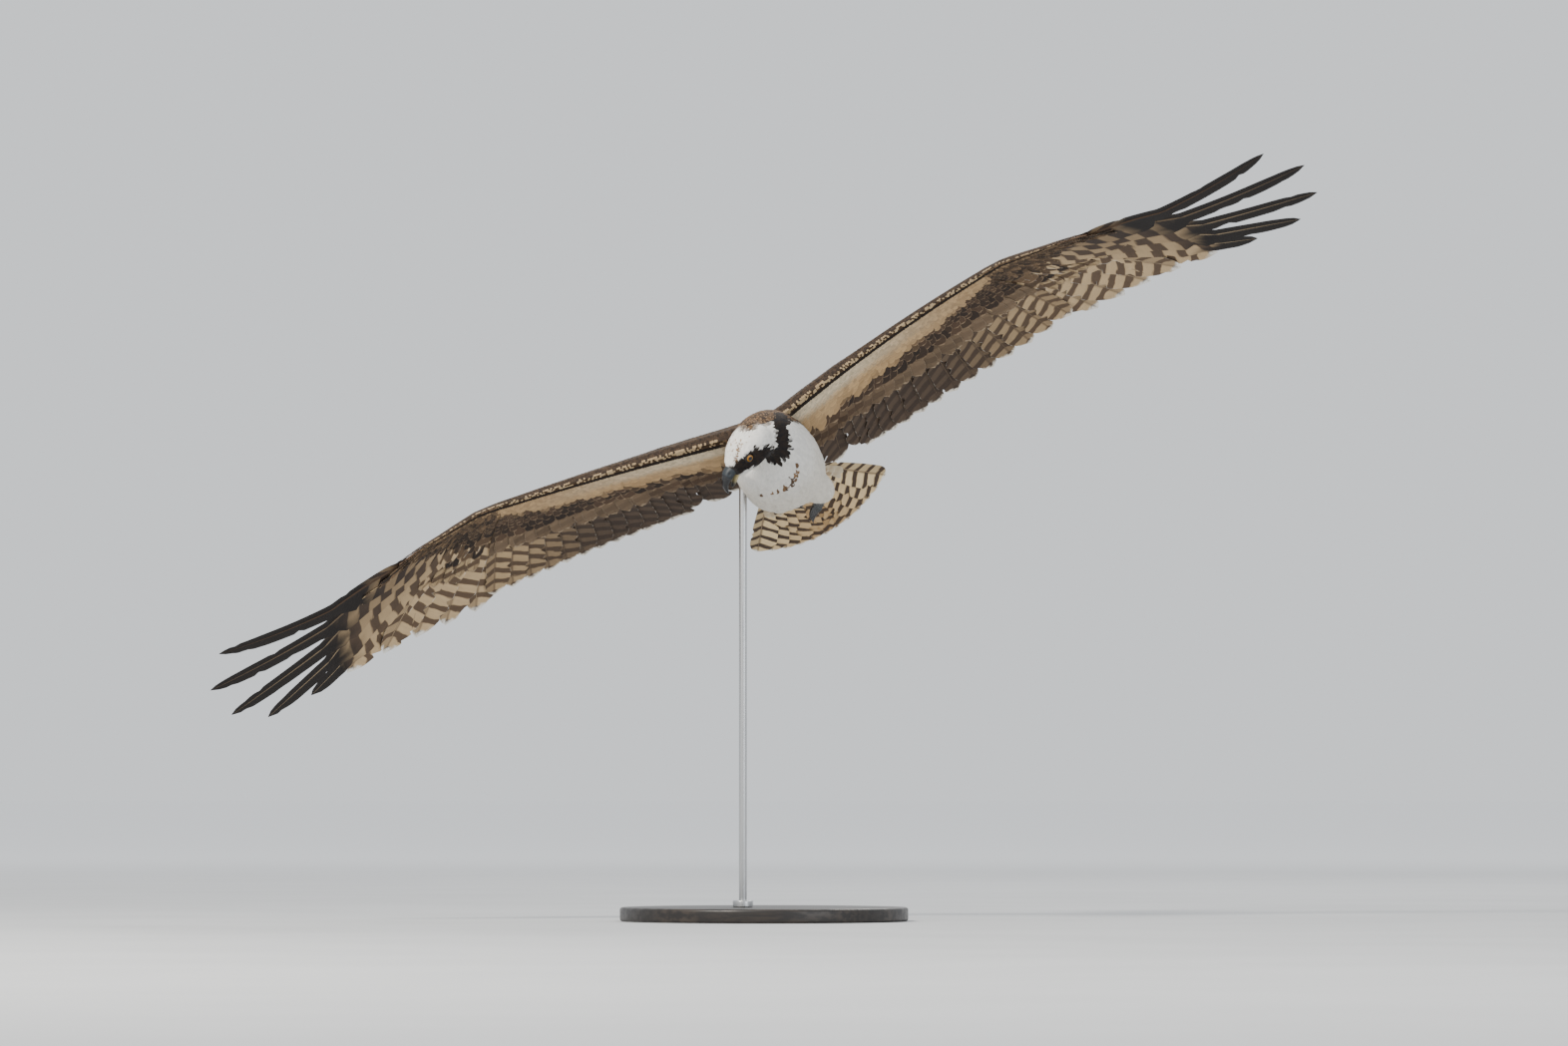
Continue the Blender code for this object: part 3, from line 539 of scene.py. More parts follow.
class Graph:
    """Short way to write shader nodes."""

    def __init__(self, tree):
        self.tree = tree

    def put(self, kind, **settings):
        node = self.tree.nodes.new(kind)
        for key, value in settings.items():
            setattr(node, key, value)
        return node

    def feed(self, socket, value):
        if isinstance(value, bpy.types.NodeSocket):
            self.tree.links.new(value, socket)
        elif value is not None:
            socket.default_value = value

    def attribute(self, name, part="Vector"):
        return self.put("ShaderNodeAttribute", attribute_name=name).outputs[part]

    def math(self, operation, first, second=None, third=None):
        node = self.put("ShaderNodeMath", operation=operation)
        self.feed(node.inputs[0], first)
        self.feed(node.inputs[1], second)
        self.feed(node.inputs[2], third)
        return node.outputs[0]

    def split(self, vector):
        node = self.put("ShaderNodeSeparateXYZ")
        self.feed(node.inputs[0], vector)
        return node.outputs[0], node.outputs[1], node.outputs[2]

    def join(self, x, y, z):
        node = self.put("ShaderNodeCombineXYZ")
        for socket, value in zip(node.inputs, (x, y, z)):
            self.feed(socket, value)
        return node.outputs[0]

    def ramp(self, value, low, high, start=0.0, end=1.0):
        node = self.put("ShaderNodeMapRange", interpolation_type="SMOOTHSTEP")
        self.feed(node.inputs["Value"], value)
        self.feed(node.inputs["From Min"], low)
        self.feed(node.inputs["From Max"], high)
        self.feed(node.inputs["To Min"], start)
        self.feed(node.inputs["To Max"], end)
        return node.outputs["Result"]

    def mix(self, share, first, second, mode="MIX"):
        node = self.put("ShaderNodeMix", data_type="RGBA", blend_type=mode)
        self.feed(node.inputs[0], share)
        self.feed(node.inputs[6], first)
        self.feed(node.inputs[7], second)
        return node.outputs[2]

    def noise(self, vector, scale, detail=2.0, roughness=0.5):
        node = self.put("ShaderNodeTexNoise")
        self.feed(node.inputs["Vector"], vector)
        node.inputs["Scale"].default_value = scale
        node.inputs["Detail"].default_value = detail
        node.inputs["Roughness"].default_value = roughness
        return node.outputs["Fac"]

    def stretched_noise(self, parts, stretches, detail=2.0, roughness=0.5):
        """Noise over three values, each of them times its own stretch."""
        spot = [self.math("MULTIPLY", part, stretch) for part, stretch in zip(parts, stretches)]
        return self.noise(self.join(*spot), 1.0, detail, roughness)

    def sway(self, value, noise, amount):
        """A value moved up and down by noise."""
        return self.math("MULTIPLY_ADD", self.math("SUBTRACT", noise, 0.5), amount, value)

    def shaded(self, colour, light):
        """A colour times one number."""
        grey = self.put("ShaderNodeCombineColor")
        for socket in grey.inputs:
            self.feed(socket, light)
        return self.mix(1.0, colour, grey.outputs[0], "MULTIPLY")

    def place(self):
        return self.put("ShaderNodeTexCoord").outputs["Object"]

    def vectors(self, operation, first, second=None, scale=None, part="Vector"):
        node = self.put("ShaderNodeVectorMath", operation=operation)
        self.feed(node.inputs[0], first)
        self.feed(node.inputs[1], second)
        if scale is not None:
            self.feed(node.inputs["Scale"], scale)
        return node.outputs[part]

    def facing(self):
        """1 on the face of a vane that looks along its form's normal, -1 on the other."""
        own = self.put("ShaderNodeTexCoord").outputs["Normal"]
        return self.math("SIGN", self.vectors("DOT_PRODUCT", own, self.attribute("form"),
                                              part="Value"))

    def toward_form(self, share):
        """Shading normal turned toward the form under the vanes, so that they lie softly."""
        own = self.put("ShaderNodeTexCoord").outputs["Normal"]
        form = self.vectors("SCALE", self.attribute("form"),
                            scale=self.math("MULTIPLY", self.facing(), share))
        own = self.vectors("SCALE", own, scale=1.0 - share)
        return self.vectors("NORMALIZE", self.vectors("ADD", own, form))

    def bump(self, height, strength, distance, normal=None):
        node = self.put("ShaderNodeBump")
        node.inputs["Strength"].default_value = strength
        node.inputs["Distance"].default_value = distance
        self.feed(node.inputs["Height"], height)
        self.feed(node.inputs["Normal"], normal)
        return node.outputs["Normal"]


# A feather turns blackish beyond this, times the fourth value of its second colour, as a
# share of its length
DARK_SPAN = 1.5
FINGER_COLOUR = (0.013, 0.010, 0.009, 1)
# The upper face of a flight feather is this brown, by this share
ABOVE_COLOUR = (0.046, 0.030, 0.020, 1)
ABOVE_SHARE = 0.93
# Barbs run this far toward the tip at a vane's edge, and this many lie along a feather
BARB_ANGLE = -0.06
BARBS = 62.0


def feather_material(name, roughness, barb_depth, softness, glow, plain_above=False):
    """Vane colours from attributes: ground, bars of the second colour, pale rim, shaft, barbs."""
    made, g, shader = new_material(name)
    reach, across, chance = g.split(g.attribute("vane"))
    bars, bar_count, rim = g.split(g.attribute("style"))
    sideways = g.math("ABSOLUTE", across)
    barb_line = g.math("MULTIPLY_ADD", sideways, BARB_ANGLE, reach)
    streak = g.stretched_noise((barb_line, across, chance), (34.0, 1.2, 37.0))
    blotch = g.stretched_noise((reach, across, chance), (6.0, 2.0, 91.0))
    ragged = g.sway(barb_line, streak, 0.045)
    wave = g.math("SINE", g.math("MULTIPLY", g.math("MULTIPLY", ragged, bar_count), 2 * pi))
    duty = g.math("MULTIPLY_ADD", bars, -0.80, 0.20)
    band = g.ramp(wave, duty, g.math("ADD", duty, 0.55))
    inner_vane = g.ramp(across, -0.25, 0.25, 0.60, 1.0)
    off_shaft = g.ramp(sideways, 0.03, 0.14, 0.40, 1.0)
    for factor in (inner_vane, off_shaft, bars):
        band = g.math("MULTIPLY", band, factor)
    colour = g.mix(band, g.attribute("ground", "Color"), g.attribute("second", "Color"))
    if plain_above:
        above = g.math("MULTIPLY", g.ramp(g.facing(), -0.5, 0.5), ABOVE_SHARE)
        colour = g.mix(above, colour, ABOVE_COLOUR)
    dark_from = g.math("MULTIPLY", g.attribute("second", "Alpha"), DARK_SPAN)
    dark_from = g.sway(dark_from, blotch, 0.12)
    dark = g.ramp(reach, g.math("SUBTRACT", dark_from, 0.07), g.math("ADD", dark_from, 0.07))
    colour = g.mix(dark, colour, FINGER_COLOUR)
    edge = g.math("MAXIMUM", reach, g.math("MULTIPLY", sideways, 0.968))
    edge = g.sway(edge, streak, 0.08)
    rim_low = g.math("SUBTRACT", 1.001, rim)
    rim_high = g.math("MULTIPLY_ADD", rim, -0.35, 1.003)
    rim_mask = g.ramp(edge, rim_low, rim_high)
    rim_mask = g.math("MULTIPLY", rim_mask, g.math("GREATER_THAN", rim, 0.001))
    colour = g.mix(rim_mask, colour, g.attribute("rim", "Color"))
    light = g.sway(g.sway(1.0, streak, 0.28), blotch, 0.16)
    light = g.math("MULTIPLY", light, g.math("MULTIPLY_ADD", chance, 0.08, 0.96))
    g.feed(shader.inputs["Base Color"], g.shaded(colour, light))
    fine = g.math("SINE", g.math("MULTIPLY", barb_line, 2 * pi * BARBS))
    height = g.math("MULTIPLY_ADD", fine, 0.15, streak)
    g.feed(shader.inputs["Normal"], g.bump(height, 0.30, barb_depth, g.toward_form(softness)))
    shader.inputs["Roughness"].default_value = roughness
    shader.inputs["Specular IOR Level"].default_value = 0.20
    shader.inputs["Subsurface Weight"].default_value = glow
    shader.inputs["Subsurface Scale"].default_value = 0.003
    shader.inputs["Subsurface Radius"].default_value = (1.0, 0.85, 0.70)
    return made


COAT = feather_material("contour_feathers", 0.80, 0.0004, 0.72, 0.25)
FLIGHT = feather_material("flight_feathers", 0.60, 0.0006, 0.30, 0.0, True)

# Feather colours
WHITE = np.array((0.82, 0.79, 0.73))
TAWNY = np.array((0.30, 0.165, 0.075))
BROWN = np.array((0.072, 0.044, 0.027))
DARK = np.array((0.026, 0.018, 0.014))
BLACK = np.array((0.008, 0.007, 0.008))
SHAFT = np.array((0.42, 0.32, 0.20))


# Flight feathers

FLIGHT_ROWS = 40
FLIGHT_COLUMNS = 9
FLIGHT_THICKNESS = 0.00045
# Height lost per metre across, so that each vane's inner edge lies under its neighbour
ROLL = 0.085
# A vane bends down by a share of this full width at that width, and sweeps back near its tip
FULL_WIDTH = 0.030
VANE_BEND = 0.055
TIP_SWEEP = 0.30
# Number of splits in a vane's edge, and their depth as a share of the width
OUTER_NICKS = (2, 0.25)
INNER_NICKS = (4, 0.30)
# Shaft: rows, end as a share of the vane, and the share of its radius lost toward the tip
ROD_ROWS = 24
ROD_END = 0.985
ROD_TAPER = 0.86
# Primaries: number, half widths of their vanes, and a finger's by share of its free part
PRIMARIES = 10
PRIMARY_OUTER = 0.0165
PRIMARY_INNER = 0.034
LAST_OUTER = 0.0085
LAST_SLOT = 0.06
FINGER_WIDTH = ((0.0, 0.0150), (0.25, 0.0138), (0.60, 0.0125), (0.82, 0.0100),
                (0.93, 0.0068), (0.985, 0.0028), (1.0, 0.0006))
SECONDARY_OUTER = 0.0125
SECONDARY_INNER = 0.0225
# Shaft radii at the root
PRIMARY_SHAFT = 0.0019
FINGER_SHAFT = 0.0022
SECONDARY_SHAFT = 0.0014
TAIL_SHAFT = 0.0015


def vane_outline(reach, length, tip_from, half, tip_power=2.2):
    """Half width of a vane at a distance along its shaft: even, then rounded to the tip."""
    tip = np.clip((reach - tip_from) / (length - tip_from), 0.0, 1.0)
    return half * (1 - tip ** tip_power) ** (1 / tip_power)


def nicks(reach, length, number, depth):
    """Small random splits in a vane's edge, as lost width at each row."""
    lost = np.zeros(len(reach))
    for _ in range(number):
        place = rng.uniform(0.25, 0.97) * length
        width = rng.uniform(0.004, 0.007)
        lost = np.maximum(lost, depth * np.maximum(0, 1 - np.abs(reach - place) / width))
    return lost


def strip_patch(index, count, face):
    """Bake patch of one face of one feather: a strip in a row of strips."""
    width = 1.0 / (2 * count)
    return (width * (2 * index + face) + 0.06 * width, 0.02, 0.88 * width, 0.96)


def flight_feather(piece, place_at, length, outer, inner, looks, index, count, shaft_radius,
                   upper_lift=0.0):
    """One quill feather. place_at(reach, across) gives points and normals in metres;
    outer and inner are the half widths at each row; a positive across is the inner vane."""
    reach = np.linspace(0, 1, FLIGHT_ROWS) ** 0.9 * length
    x = np.linspace(-1, 1, FLIGHT_COLUMNS)
    low = outer(reach) * (1 - nicks(reach, length, *OUTER_NICKS))
    high = inner(reach) * (1 - nicks(reach, length, *INNER_NICKS))
    across = np.where(x < 0, x * low[:, None], x * high[:, None])
    sweep = TIP_SWEEP * np.abs(across) * smooth_step(0.75, 1.0, reach / length)[:, None]
    place, normal = place_at(reach[:, None] - sweep, across)
    bend = -VANE_BEND * (across / FULL_WIDTH) ** 2 * FULL_WIDTH
    place = place + normal * (-ROLL * across + bend + upper_lift)[..., None]
    patches = np.array([[strip_patch(index, count, face) for face in (0, 1)]])
    row = {key: np.array([value]) for key, value in looks.items()}
    piece.add(place[None], normal[None], FLIGHT_THICKNESS, (reach / length)[:, None], x, row,
              patches)
    rod_reach = np.linspace(0, ROD_END, ROD_ROWS) * length
    path, up = place_at(rod_reach[:, None], np.zeros((ROD_ROWS, 1)))
    path = path[:, 0] + up[:, 0] * upper_lift
    radius = shaft_radius * (1 - ROD_TAPER * (rod_reach / length) ** 1.2)
    shaft = dict(row, ground=row["shaft"], second=row["shaft"], style=np.zeros((1, 3)))
    piece.add_rods(path[None], up[None, :, 0], radius[None], shaft, patches[:, 0])


# Ground and bars of the inner primary and of the outermost
PRIMARY_GROUND = ((0.110, 0.070, 0.042), DARK * 1.6)
PRIMARY_BARS = ((0.60, 0.43, 0.24), (0.34, 0.235, 0.13))


def primary_colours(k):
    """Looks of primary k, counted from 0: barred, with blackish fingers."""
    outer = np.clip((k - 4.0) / 5.0, 0, 1)
    dark_from = 9.0 if k < FIRST_FINGER else 0.94 * SLOT_START[min(k, 8)] / PRIMARY_LENGTH[k]
    dark_from = dark_from * (0.6 if k == 9 else 1.0)
    second = np.append(tint(*PRIMARY_BARS, outer), min(dark_from / DARK_SPAN, 1.0))
    rim = 0.050 if k < FIRST_FINGER else 0.0
    return dict(ground=tint(*PRIMARY_GROUND, outer), second=second, rim=WHITE,
                shaft=tint(SHAFT, BROWN, outer), random=rng.uniform(),
                style=np.array((blend(0.85, 0.60, outer), 9.0, rim)))


def primary_width(k, reach, outer):
    """Half width of primary k at each reach, on its outer or on its inner side."""
    length = PRIMARY_LENGTH[k]
    full = PRIMARY_OUTER if outer else PRIMARY_INNER
    root = smooth_step(-0.01, 0.05, reach) if outer else smooth_step(-0.02, 0.06, reach)
    if k < FIRST_FINGER:
        return vane_outline(reach, length, length * (0.80 if outer else 0.74), full) * root
    slot_in = SLOT_START[k - 1]
    slot_out = SLOT_START[k] if k < 9 else LAST_SLOT
    begin = max(slot_in, slot_out)
    finger = along(FINGER_WIDTH, np.clip((reach - begin) / (length - begin), 0, 1))
    if outer:
        full = full if k < 9 else LAST_OUTER
        free = smooth_step(slot_out - 0.035, slot_out - 0.002, reach)
        return blend(full, 0.78 * finger, free) * root
    free = smooth_step(slot_in - 0.045, slot_in - 0.002, reach)
    return blend(full, 1.10 * finger, free) * root


def add_primary(piece, wing, k):
    root, angle = wing.primary_line(k)
    heading = np.array((cos(radians(angle)), sin(radians(angle))))
    square = np.array((-heading[1], heading[0]))
    lead = QUILL_BACK + LEADING_EDGE_AHEAD
    total = wing.reach(k) + lead

    def place_at(reach, across):
        plan = root + reach[..., None] * heading + across[..., None] * square
        share = np.clip((reach + lead) / total, 0, 1)
        bow = 4 * CAMBER * share * (1 - share) * total
        point = wing.hand_point(plan[..., 0], plan[..., 1]) + wing.hand_up * bow[..., None]
        return point, np.broadcast_to(wing.hand_up, point.shape)

    def outer(reach):
        return primary_width(k, reach, True)

    def inner(reach):
        return primary_width(k, reach, False)

    shaft_radius = PRIMARY_SHAFT if k < FIRST_FINGER else FINGER_SHAFT
    flight_feather(piece, place_at, PRIMARY_LENGTH[k], outer, inner, primary_colours(k), k,
                   PRIMARIES, shaft_radius)


def make_primaries(wing):
    piece = Vanes("wing_%s_primary_feathers" % wing.name)
    for k in range(PRIMARIES):
        add_primary(piece, wing, k)
    made = piece.build(FLIGHT)
    names = ["wing_%s_primary_%d" % (wing.name, n) for n in range(6, 11)]
    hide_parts("wing_%s_primaries" % wing.name, *names)


# Ground and bars of the plain secondaries near the body and of the barred outer ones
SECONDARY_GROUND = ((0.046, 0.030, 0.021), (0.096, 0.061, 0.037))
SECONDARY_BARS = ((0.105, 0.070, 0.046), (0.50, 0.35, 0.19))
SECONDARY_RIM = np.array((0.76, 0.70, 0.60))


def secondary_colours(n, total):
    """Looks of secondary n, counted from the body: dark, the outer ones barred."""
    barred = smooth_step(0.62, 1.0, n / (total - 1))
    return dict(ground=tint(*SECONDARY_GROUND, barred), second=tint(*SECONDARY_BARS, barred),
                rim=SECONDARY_RIM, shaft=blend(BROWN, SHAFT, 0.3), random=rng.uniform(),
                style=np.array((blend(0.55, 0.80, barred), 8.0, 0.048)))


def add_secondary(piece, wing, n, q, total):
    front, rear = wing.lengths(q)
    start = 0.50 * front
    length = float(front + rear - start) + 0.001
    wide = 1.25 if n < TERTIALS else 1.0

    def place_at(reach, across):
        distance = start + reach
        place = q - across / wing.spread(np.full(np.shape(reach), q), distance)
        return wing.at(place, distance)

    def outer(reach):
        return vane_outline(reach, length, length * 0.84, SECONDARY_OUTER * wide, 2.4)

    def inner(reach):
        return vane_outline(reach, length, length * 0.82, SECONDARY_INNER * wide, 2.4)

    flight_feather(piece, place_at, length, outer, inner, secondary_colours(n, total), n, total,
                   SECONDARY_SHAFT)


def make_secondaries(wing):
    piece = Vanes("wing_%s_secondary_feathers" % wing.name)
    total = TERTIALS + SECONDARIES
    places = [blend(INNER_END, 0.24, k / (TERTIALS - 0.5)) for k in range(TERTIALS)]
    places += [blend(0.30, 0.975, k / (SECONDARIES - 1)) for k in range(SECONDARIES)]
    for n, q in enumerate(places):
        add_secondary(piece, wing, n, q, total)
    made = piece.build(FLIGHT)
    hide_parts("wing_%s_secondaries" % wing.name)


# Tail, as in the solids

TRUNK_AXIS_LIFT = 0.040
TAIL_START = -0.1776
TAIL_TURN = radians(6.3)
TAIL_RAISE = radians(-14.0)
TAIL_ROLL = radians(4.1)
TAIL_FEATHERS = 12
TAIL_LENGTH = 0.172
TAIL_HALF_BASE = 0.035
TAIL_HALF_SPREAD = radians(25.6)
TAIL_CUP = 0.028


class Tail:
    """Plan of the fan: place across is -1 to 1, reach is the distance behind the root."""

    def __init__(self):
        forward = unit(cos(TAIL_RAISE) * (cos(TAIL_TURN) * TRUNK_FORWARD - sin(TAIL_TURN) * LEFT)
                       - sin(TAIL_RAISE) * TRUNK_UP)
        side = unit(LEFT - np.dot(LEFT, forward) * forward)
        up = np.cross(forward, side)
        self.forward = forward
        self.side = cos(TAIL_ROLL) * side + sin(TAIL_ROLL) * up
        self.up = np.cross(forward, self.side)
        self.start = body_point(TAIL_START, 0, TRUNK_AXIS_LIFT)

    def at(self, share, reach, across):
        """Points beside the line of a share of the fan, and their normals."""
        share = np.asarray(share, float)
        angle = (share * TAIL_HALF_SPREAD)[..., None]
        heading = -np.cos(angle) * self.forward + np.sin(angle) * self.side
        beside = np.sin(angle) * self.forward + np.cos(angle) * self.side
        root = self.start + self.side * (share * TAIL_HALF_BASE)[..., None]
        width = TAIL_HALF_BASE + np.maximum(reach, 0) * TAIL_HALF_SPREAD
        local = share + across / width
        lift = TAIL_CUP * local ** 2 * np.clip(reach / TAIL_LENGTH, 0, 1.1)
        point = (root + heading * reach[..., None] + beside * across[..., None]
                 + self.up * lift[..., None])
        slope = 2 * TAIL_CUP * local * np.clip(reach / TAIL_LENGTH, 0, 1.1) / width
        normal = unit(self.up - beside * slope[..., None])
        return point, normal


tail = Tail()


# The quills start this far ahead of the fan's root; half widths by distance along them
QUILL_START = 0.012
TAIL_OUTER = ((0, 0.004), (0.03, 0.0075), (0.12, 0.0105), (1, 0.0125))
TAIL_INNER = ((0, 0.005), (0.03, 0.013), (0.12, 0.0215), (1, 0.0225))
# Ground and bars of the middle tail feathers and of the outermost
TAIL_GROUND = ((0.060, 0.034, 0.018), BROWN * 0.8)
TAIL_BARS = ((0.40, 0.235, 0.10), (0.82, 0.62, 0.34))
TAIL_SHAFT_COLOUR = np.array((0.30, 0.21, 0.13))
TAIL_STYLE = np.array((1.0, 7.6, 0.035))
# Each feather toward the middle lies higher by a quarter of this
TAIL_STEP = 0.0011


def add_tail_feather(piece, n):
    share = (2 * n + 1) / TAIL_FEATHERS - 1
    outward = 1.0 if share > 0 else -1.0
    length = TAIL_LENGTH * (1 - 0.02 * share ** 2) + QUILL_START

    def place_at(reach, across):
        reach, across = np.broadcast_arrays(reach - QUILL_START, -outward * across)
        return tail.at(share, reach, across)

    def outer(reach):
        return vane_outline(reach, length, length * 0.86, along(TAIL_OUTER, reach), 2.6)

    def inner(reach):
        return vane_outline(reach, length, length * 0.84, along(TAIL_INNER, reach), 2.4)

    edge = abs(share)
    looks = dict(ground=tint(*TAIL_GROUND, edge), second=tint(*TAIL_BARS, edge), rim=WHITE,
                 shaft=TAIL_SHAFT_COLOUR, random=rng.uniform(), style=TAIL_STYLE)
    centre_height = TAIL_STEP * (6 - abs(2 * n + 1 - TAIL_FEATHERS) / 2)
    flight_feather(piece, place_at, length, outer, inner, looks, n, TAIL_FEATHERS, TAIL_SHAFT,
                   upper_lift=centre_height * 0.25)


def make_tail():
    piece = Vanes("tail_feathers")
    for n in range(TAIL_FEATHERS):
        add_tail_feather(piece, n)
    made = piece.build(FLIGHT)
    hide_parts("tail")


# Wing coverts

COVERT_THICKNESS = 0.0004
# Coverts that reach past the covert part are raised by this, clear of the flight feathers
COVERT_CLEARANCE = 0.0020
# Tilt across a covert, drop of its sides as a share of its width, and spread of its tip
COVERT_ROLL = 0.11
COVERT_CROWN = 0.020
RAGGED_ENDS = 0.022
# Places along a wing that a covert keeps within, its root and its whole vane
ROOT_LIMITS = (-0.19, 1.99)
VANE_LIMITS = (-0.19, 1.999)


def vane_grid(rows, columns):
    """Shares from root to tip, closer together toward the round tip, and places across."""
    share = np.sin(np.linspace(0, pi / 2, rows))
    return share[None, :, None], np.linspace(-1, 1, columns)[None, None]


def each(*lists):
    """Lists of one value for each vane, set up to spread over rows and columns."""
    return [np.asarray(values)[:, None, None] for values in lists]


def covert_outline(share, point=0.55):
    """Width of a small vane as a share of its widest, from root to rounded tip."""
    root = 0.35 + 0.65 * smooth_step(0.0, 0.45, share)
    tip = np.clip((share - point) / (1 - point), 0, 1)
    return root * np.sqrt(np.maximum(1 - tip ** 2.2, 0.0025))


def covert_batch(piece, wing, face, q, start, length, width, slant, looks, rows, columns,
                 slope, patch):
    """Coverts with roots at places q and distances start behind the leading edge."""
    share, x = vane_grid(rows, columns)
    ragged = 1 + RAGGED_ENDS * rng.standard_normal((len(q), 1, columns))
    q, start, length, width, slant = each(q, start, length, width, slant)
    reach = share * length * (1 - 0.04 * x ** 2 * share ** 2)
    reach = reach * (1 + (ragged - 1) * share ** 3)
    across = x * (covert_outline(share) * width / 2)
    distance = start + np.cos(slant) * reach
    sideways = np.sin(slant) * reach + across
    place = q + sideways / wing.spread(np.broadcast_to(q, distance.shape), distance)
    point, normal = wing.at(np.clip(place, *VANE_LIMITS), distance, face)
    lift = slope * (reach - length) - COVERT_ROLL * across * face
    crown = -COVERT_CROWN * (across / (width / 2)) ** 2 * width
    front, _ = wing.lengths(q)
    lift = lift + crown + COVERT_CLEARANCE * smooth_step(0.70, 1.05, distance / front)
    piece.add(point + normal * lift[..., None], normal, COVERT_THICKNESS, share, x, looks, patch)


def covert_places(wing, distance_share, spacing, first, last, offset):
    """Places q at even metres along the wing, at a share of the covert part's length."""
    q = np.linspace(first, last, 400)
    front, _ = wing.lengths(q)
    metres = np.concatenate(((0.0,), np.cumsum(wing.spread(q, distance_share * front)[1:]
                                               * np.diff(q))))
    count = int(metres[-1] / spacing)
    marks = (np.arange(count) + offset) * spacing
    return np.interp(marks, metres, q)


def row_patches(q, share, face, size):
    """Bake patches on the wing's own plan: q across, distance upward, one half for each face."""
    u = 0.03 + 0.94 * (q + 0.2) / 2.2
    v = (0.52 if face > 0 else 0.02) + 0.44 * share / 1.1
    corner = np.stack([u] + [np.full_like(u, value) for value in (v, size, size)], axis=-1)
    return np.repeat(corner[:, None], 2, axis=1)


# Colours of the under-wing coverts
ARM_CREAM = (0.66, 0.53, 0.36)
HAND_OCHRE = (0.42, 0.26, 0.125)
GOLD = (0.44, 0.255, 0.105)
SPECKLE = (0.16, 0.10, 0.055)
FRINGES = ((0.17, 0.11, 0.065), (0.30, 0.205, 0.125))
BEADS = ((0.62, 0.44, 0.24), (0.22, 0.14, 0.08))
COVERT_BARS = ((0.22, 0.15, 0.09), (0.55, 0.39, 0.21))
LAST_ROW = (0.13, 0.088, 0.055)
LAST_ROW_HAND = (0.105, 0.067, 0.040)
LAST_ROW_RIMS = ((0.34, 0.25, 0.16), (0.20, 0.14, 0.09))
ARMPIT_RIM = (0.26, 0.175, 0.11)
# Share of the covert part at which the pale band ends, along the wing
BAND_END = ((-0.2, 1.05), (0.10, 0.98), (0.25, 0.84), (0.50, 0.72), (0.80, 0.52),
            (1.0, 0.26), (1.1, 0.06))


def under_looks(wing, q, share, kind):
    """Colours of under-wing coverts at place q and share of the covert part."""
    n = len(q)
    noise = rng.uniform(size=n)
    hand = smooth_step(0.98, 1.12, q)
    fade = smooth_step(0.10, 0.95, q)
    cream = tint(ARM_CREAM, HAND_OCHRE, 0.9 * fade)
    golden = smooth_step(0.18, 0.50, share + 0.10 * (noise - 0.5)) * smooth_step(1.0, 0.40, q)
    cream = tint(cream, GOLD, 0.80 * golden) * (0.80 + 0.30 * noise)[:, None]
    dark = tint(tint(DARK, BROWN * 1.2, noise ** 1.4), tint(DARK * 0.9, SPECKLE, noise ** 2.0),
                hand)
    band_end = along(BAND_END, q)
    darkness = smooth_step(band_end - 0.05, band_end + 0.05, share + 0.16 * (noise - 0.5))
    ground = tint(cream, dark, darkness)
    rim = tint(cream * 1.12, tint(*FRINGES, noise), darkness)
    rim_width = blend(0.25, 0.13, darkness)
    line = smooth_step(0.022, 0.028, share) * smooth_step(0.062, 0.054, share)
    line = line * smooth_step(-0.10, 0.02, q)
    ground = tint(ground, DARK * 0.8, line)
    rim = tint(rim, DARK, line)
    front = smooth_step(0.028, 0.022, share)
    pale_bead = tint(*BEADS, hand)
    pale = (noise > 0.45)[:, None]
    ground = tint(ground, np.where(pale, pale_bead, BROWN * 0.8), front)
    rim = tint(rim, np.where(pale, pale_bead * 1.1, TAWNY * 0.6), front)
    rim_width = blend(rim_width, 0.25, front)
    bars = np.zeros(n)
    if kind == "last":
        inside = smooth_step(0.55, 0.20, q)
        ground = tint(LAST_ROW, BROWN, inside) * (0.80 + 0.40 * noise)[:, None]
        ground = tint(ground, LAST_ROW_HAND, hand)
        rim = tint(*LAST_ROW_RIMS, inside)
        rim_width = np.full(n, 0.08)
        bars = blend(0.40, 0.62, hand)
    if wing.name == "right":
        inner = smooth_step(0.02, -0.03, q)
        ground = tint(ground, tint(DARK, TAWNY, noise), inner)
        rim = tint(rim, ARMPIT_RIM, inner)
    style = np.stack((bars, np.full(n, 2.6), rim_width), axis=-1)
    return dict(ground=ground, second=tint(*COVERT_BARS, hand), rim=rim, style=style,
                random=noise)


# Colours of the upper-wing coverts
UPPER_RIMS = ((0.10, 0.066, 0.042), (0.26, 0.185, 0.12))
UPPER_FRONT = (0.50, 0.35, 0.19)


def upper_looks(_wing, q, share, kind):
    """Colours of upper-wing coverts: dark brown with pale fringes."""
    n = len(q)
    noise = rng.uniform(size=n)
    front = smooth_step(0.018, 0.012, share) * (noise > 0.5)
    ground = tint(tint(DARK * 0.9, BROWN, noise), UPPER_FRONT, front)
    rim = tint(tint(*UPPER_RIMS, noise), UPPER_FRONT, front)
    rim_width = 0.07 if kind in ("greater", "last") else 0.12
    style = np.tile((0.15, 2.5, rim_width), (n, 1))
    return dict(ground=ground, second=np.tile(TAWNY, (n, 1)), rim=rim, style=style, random=noise)


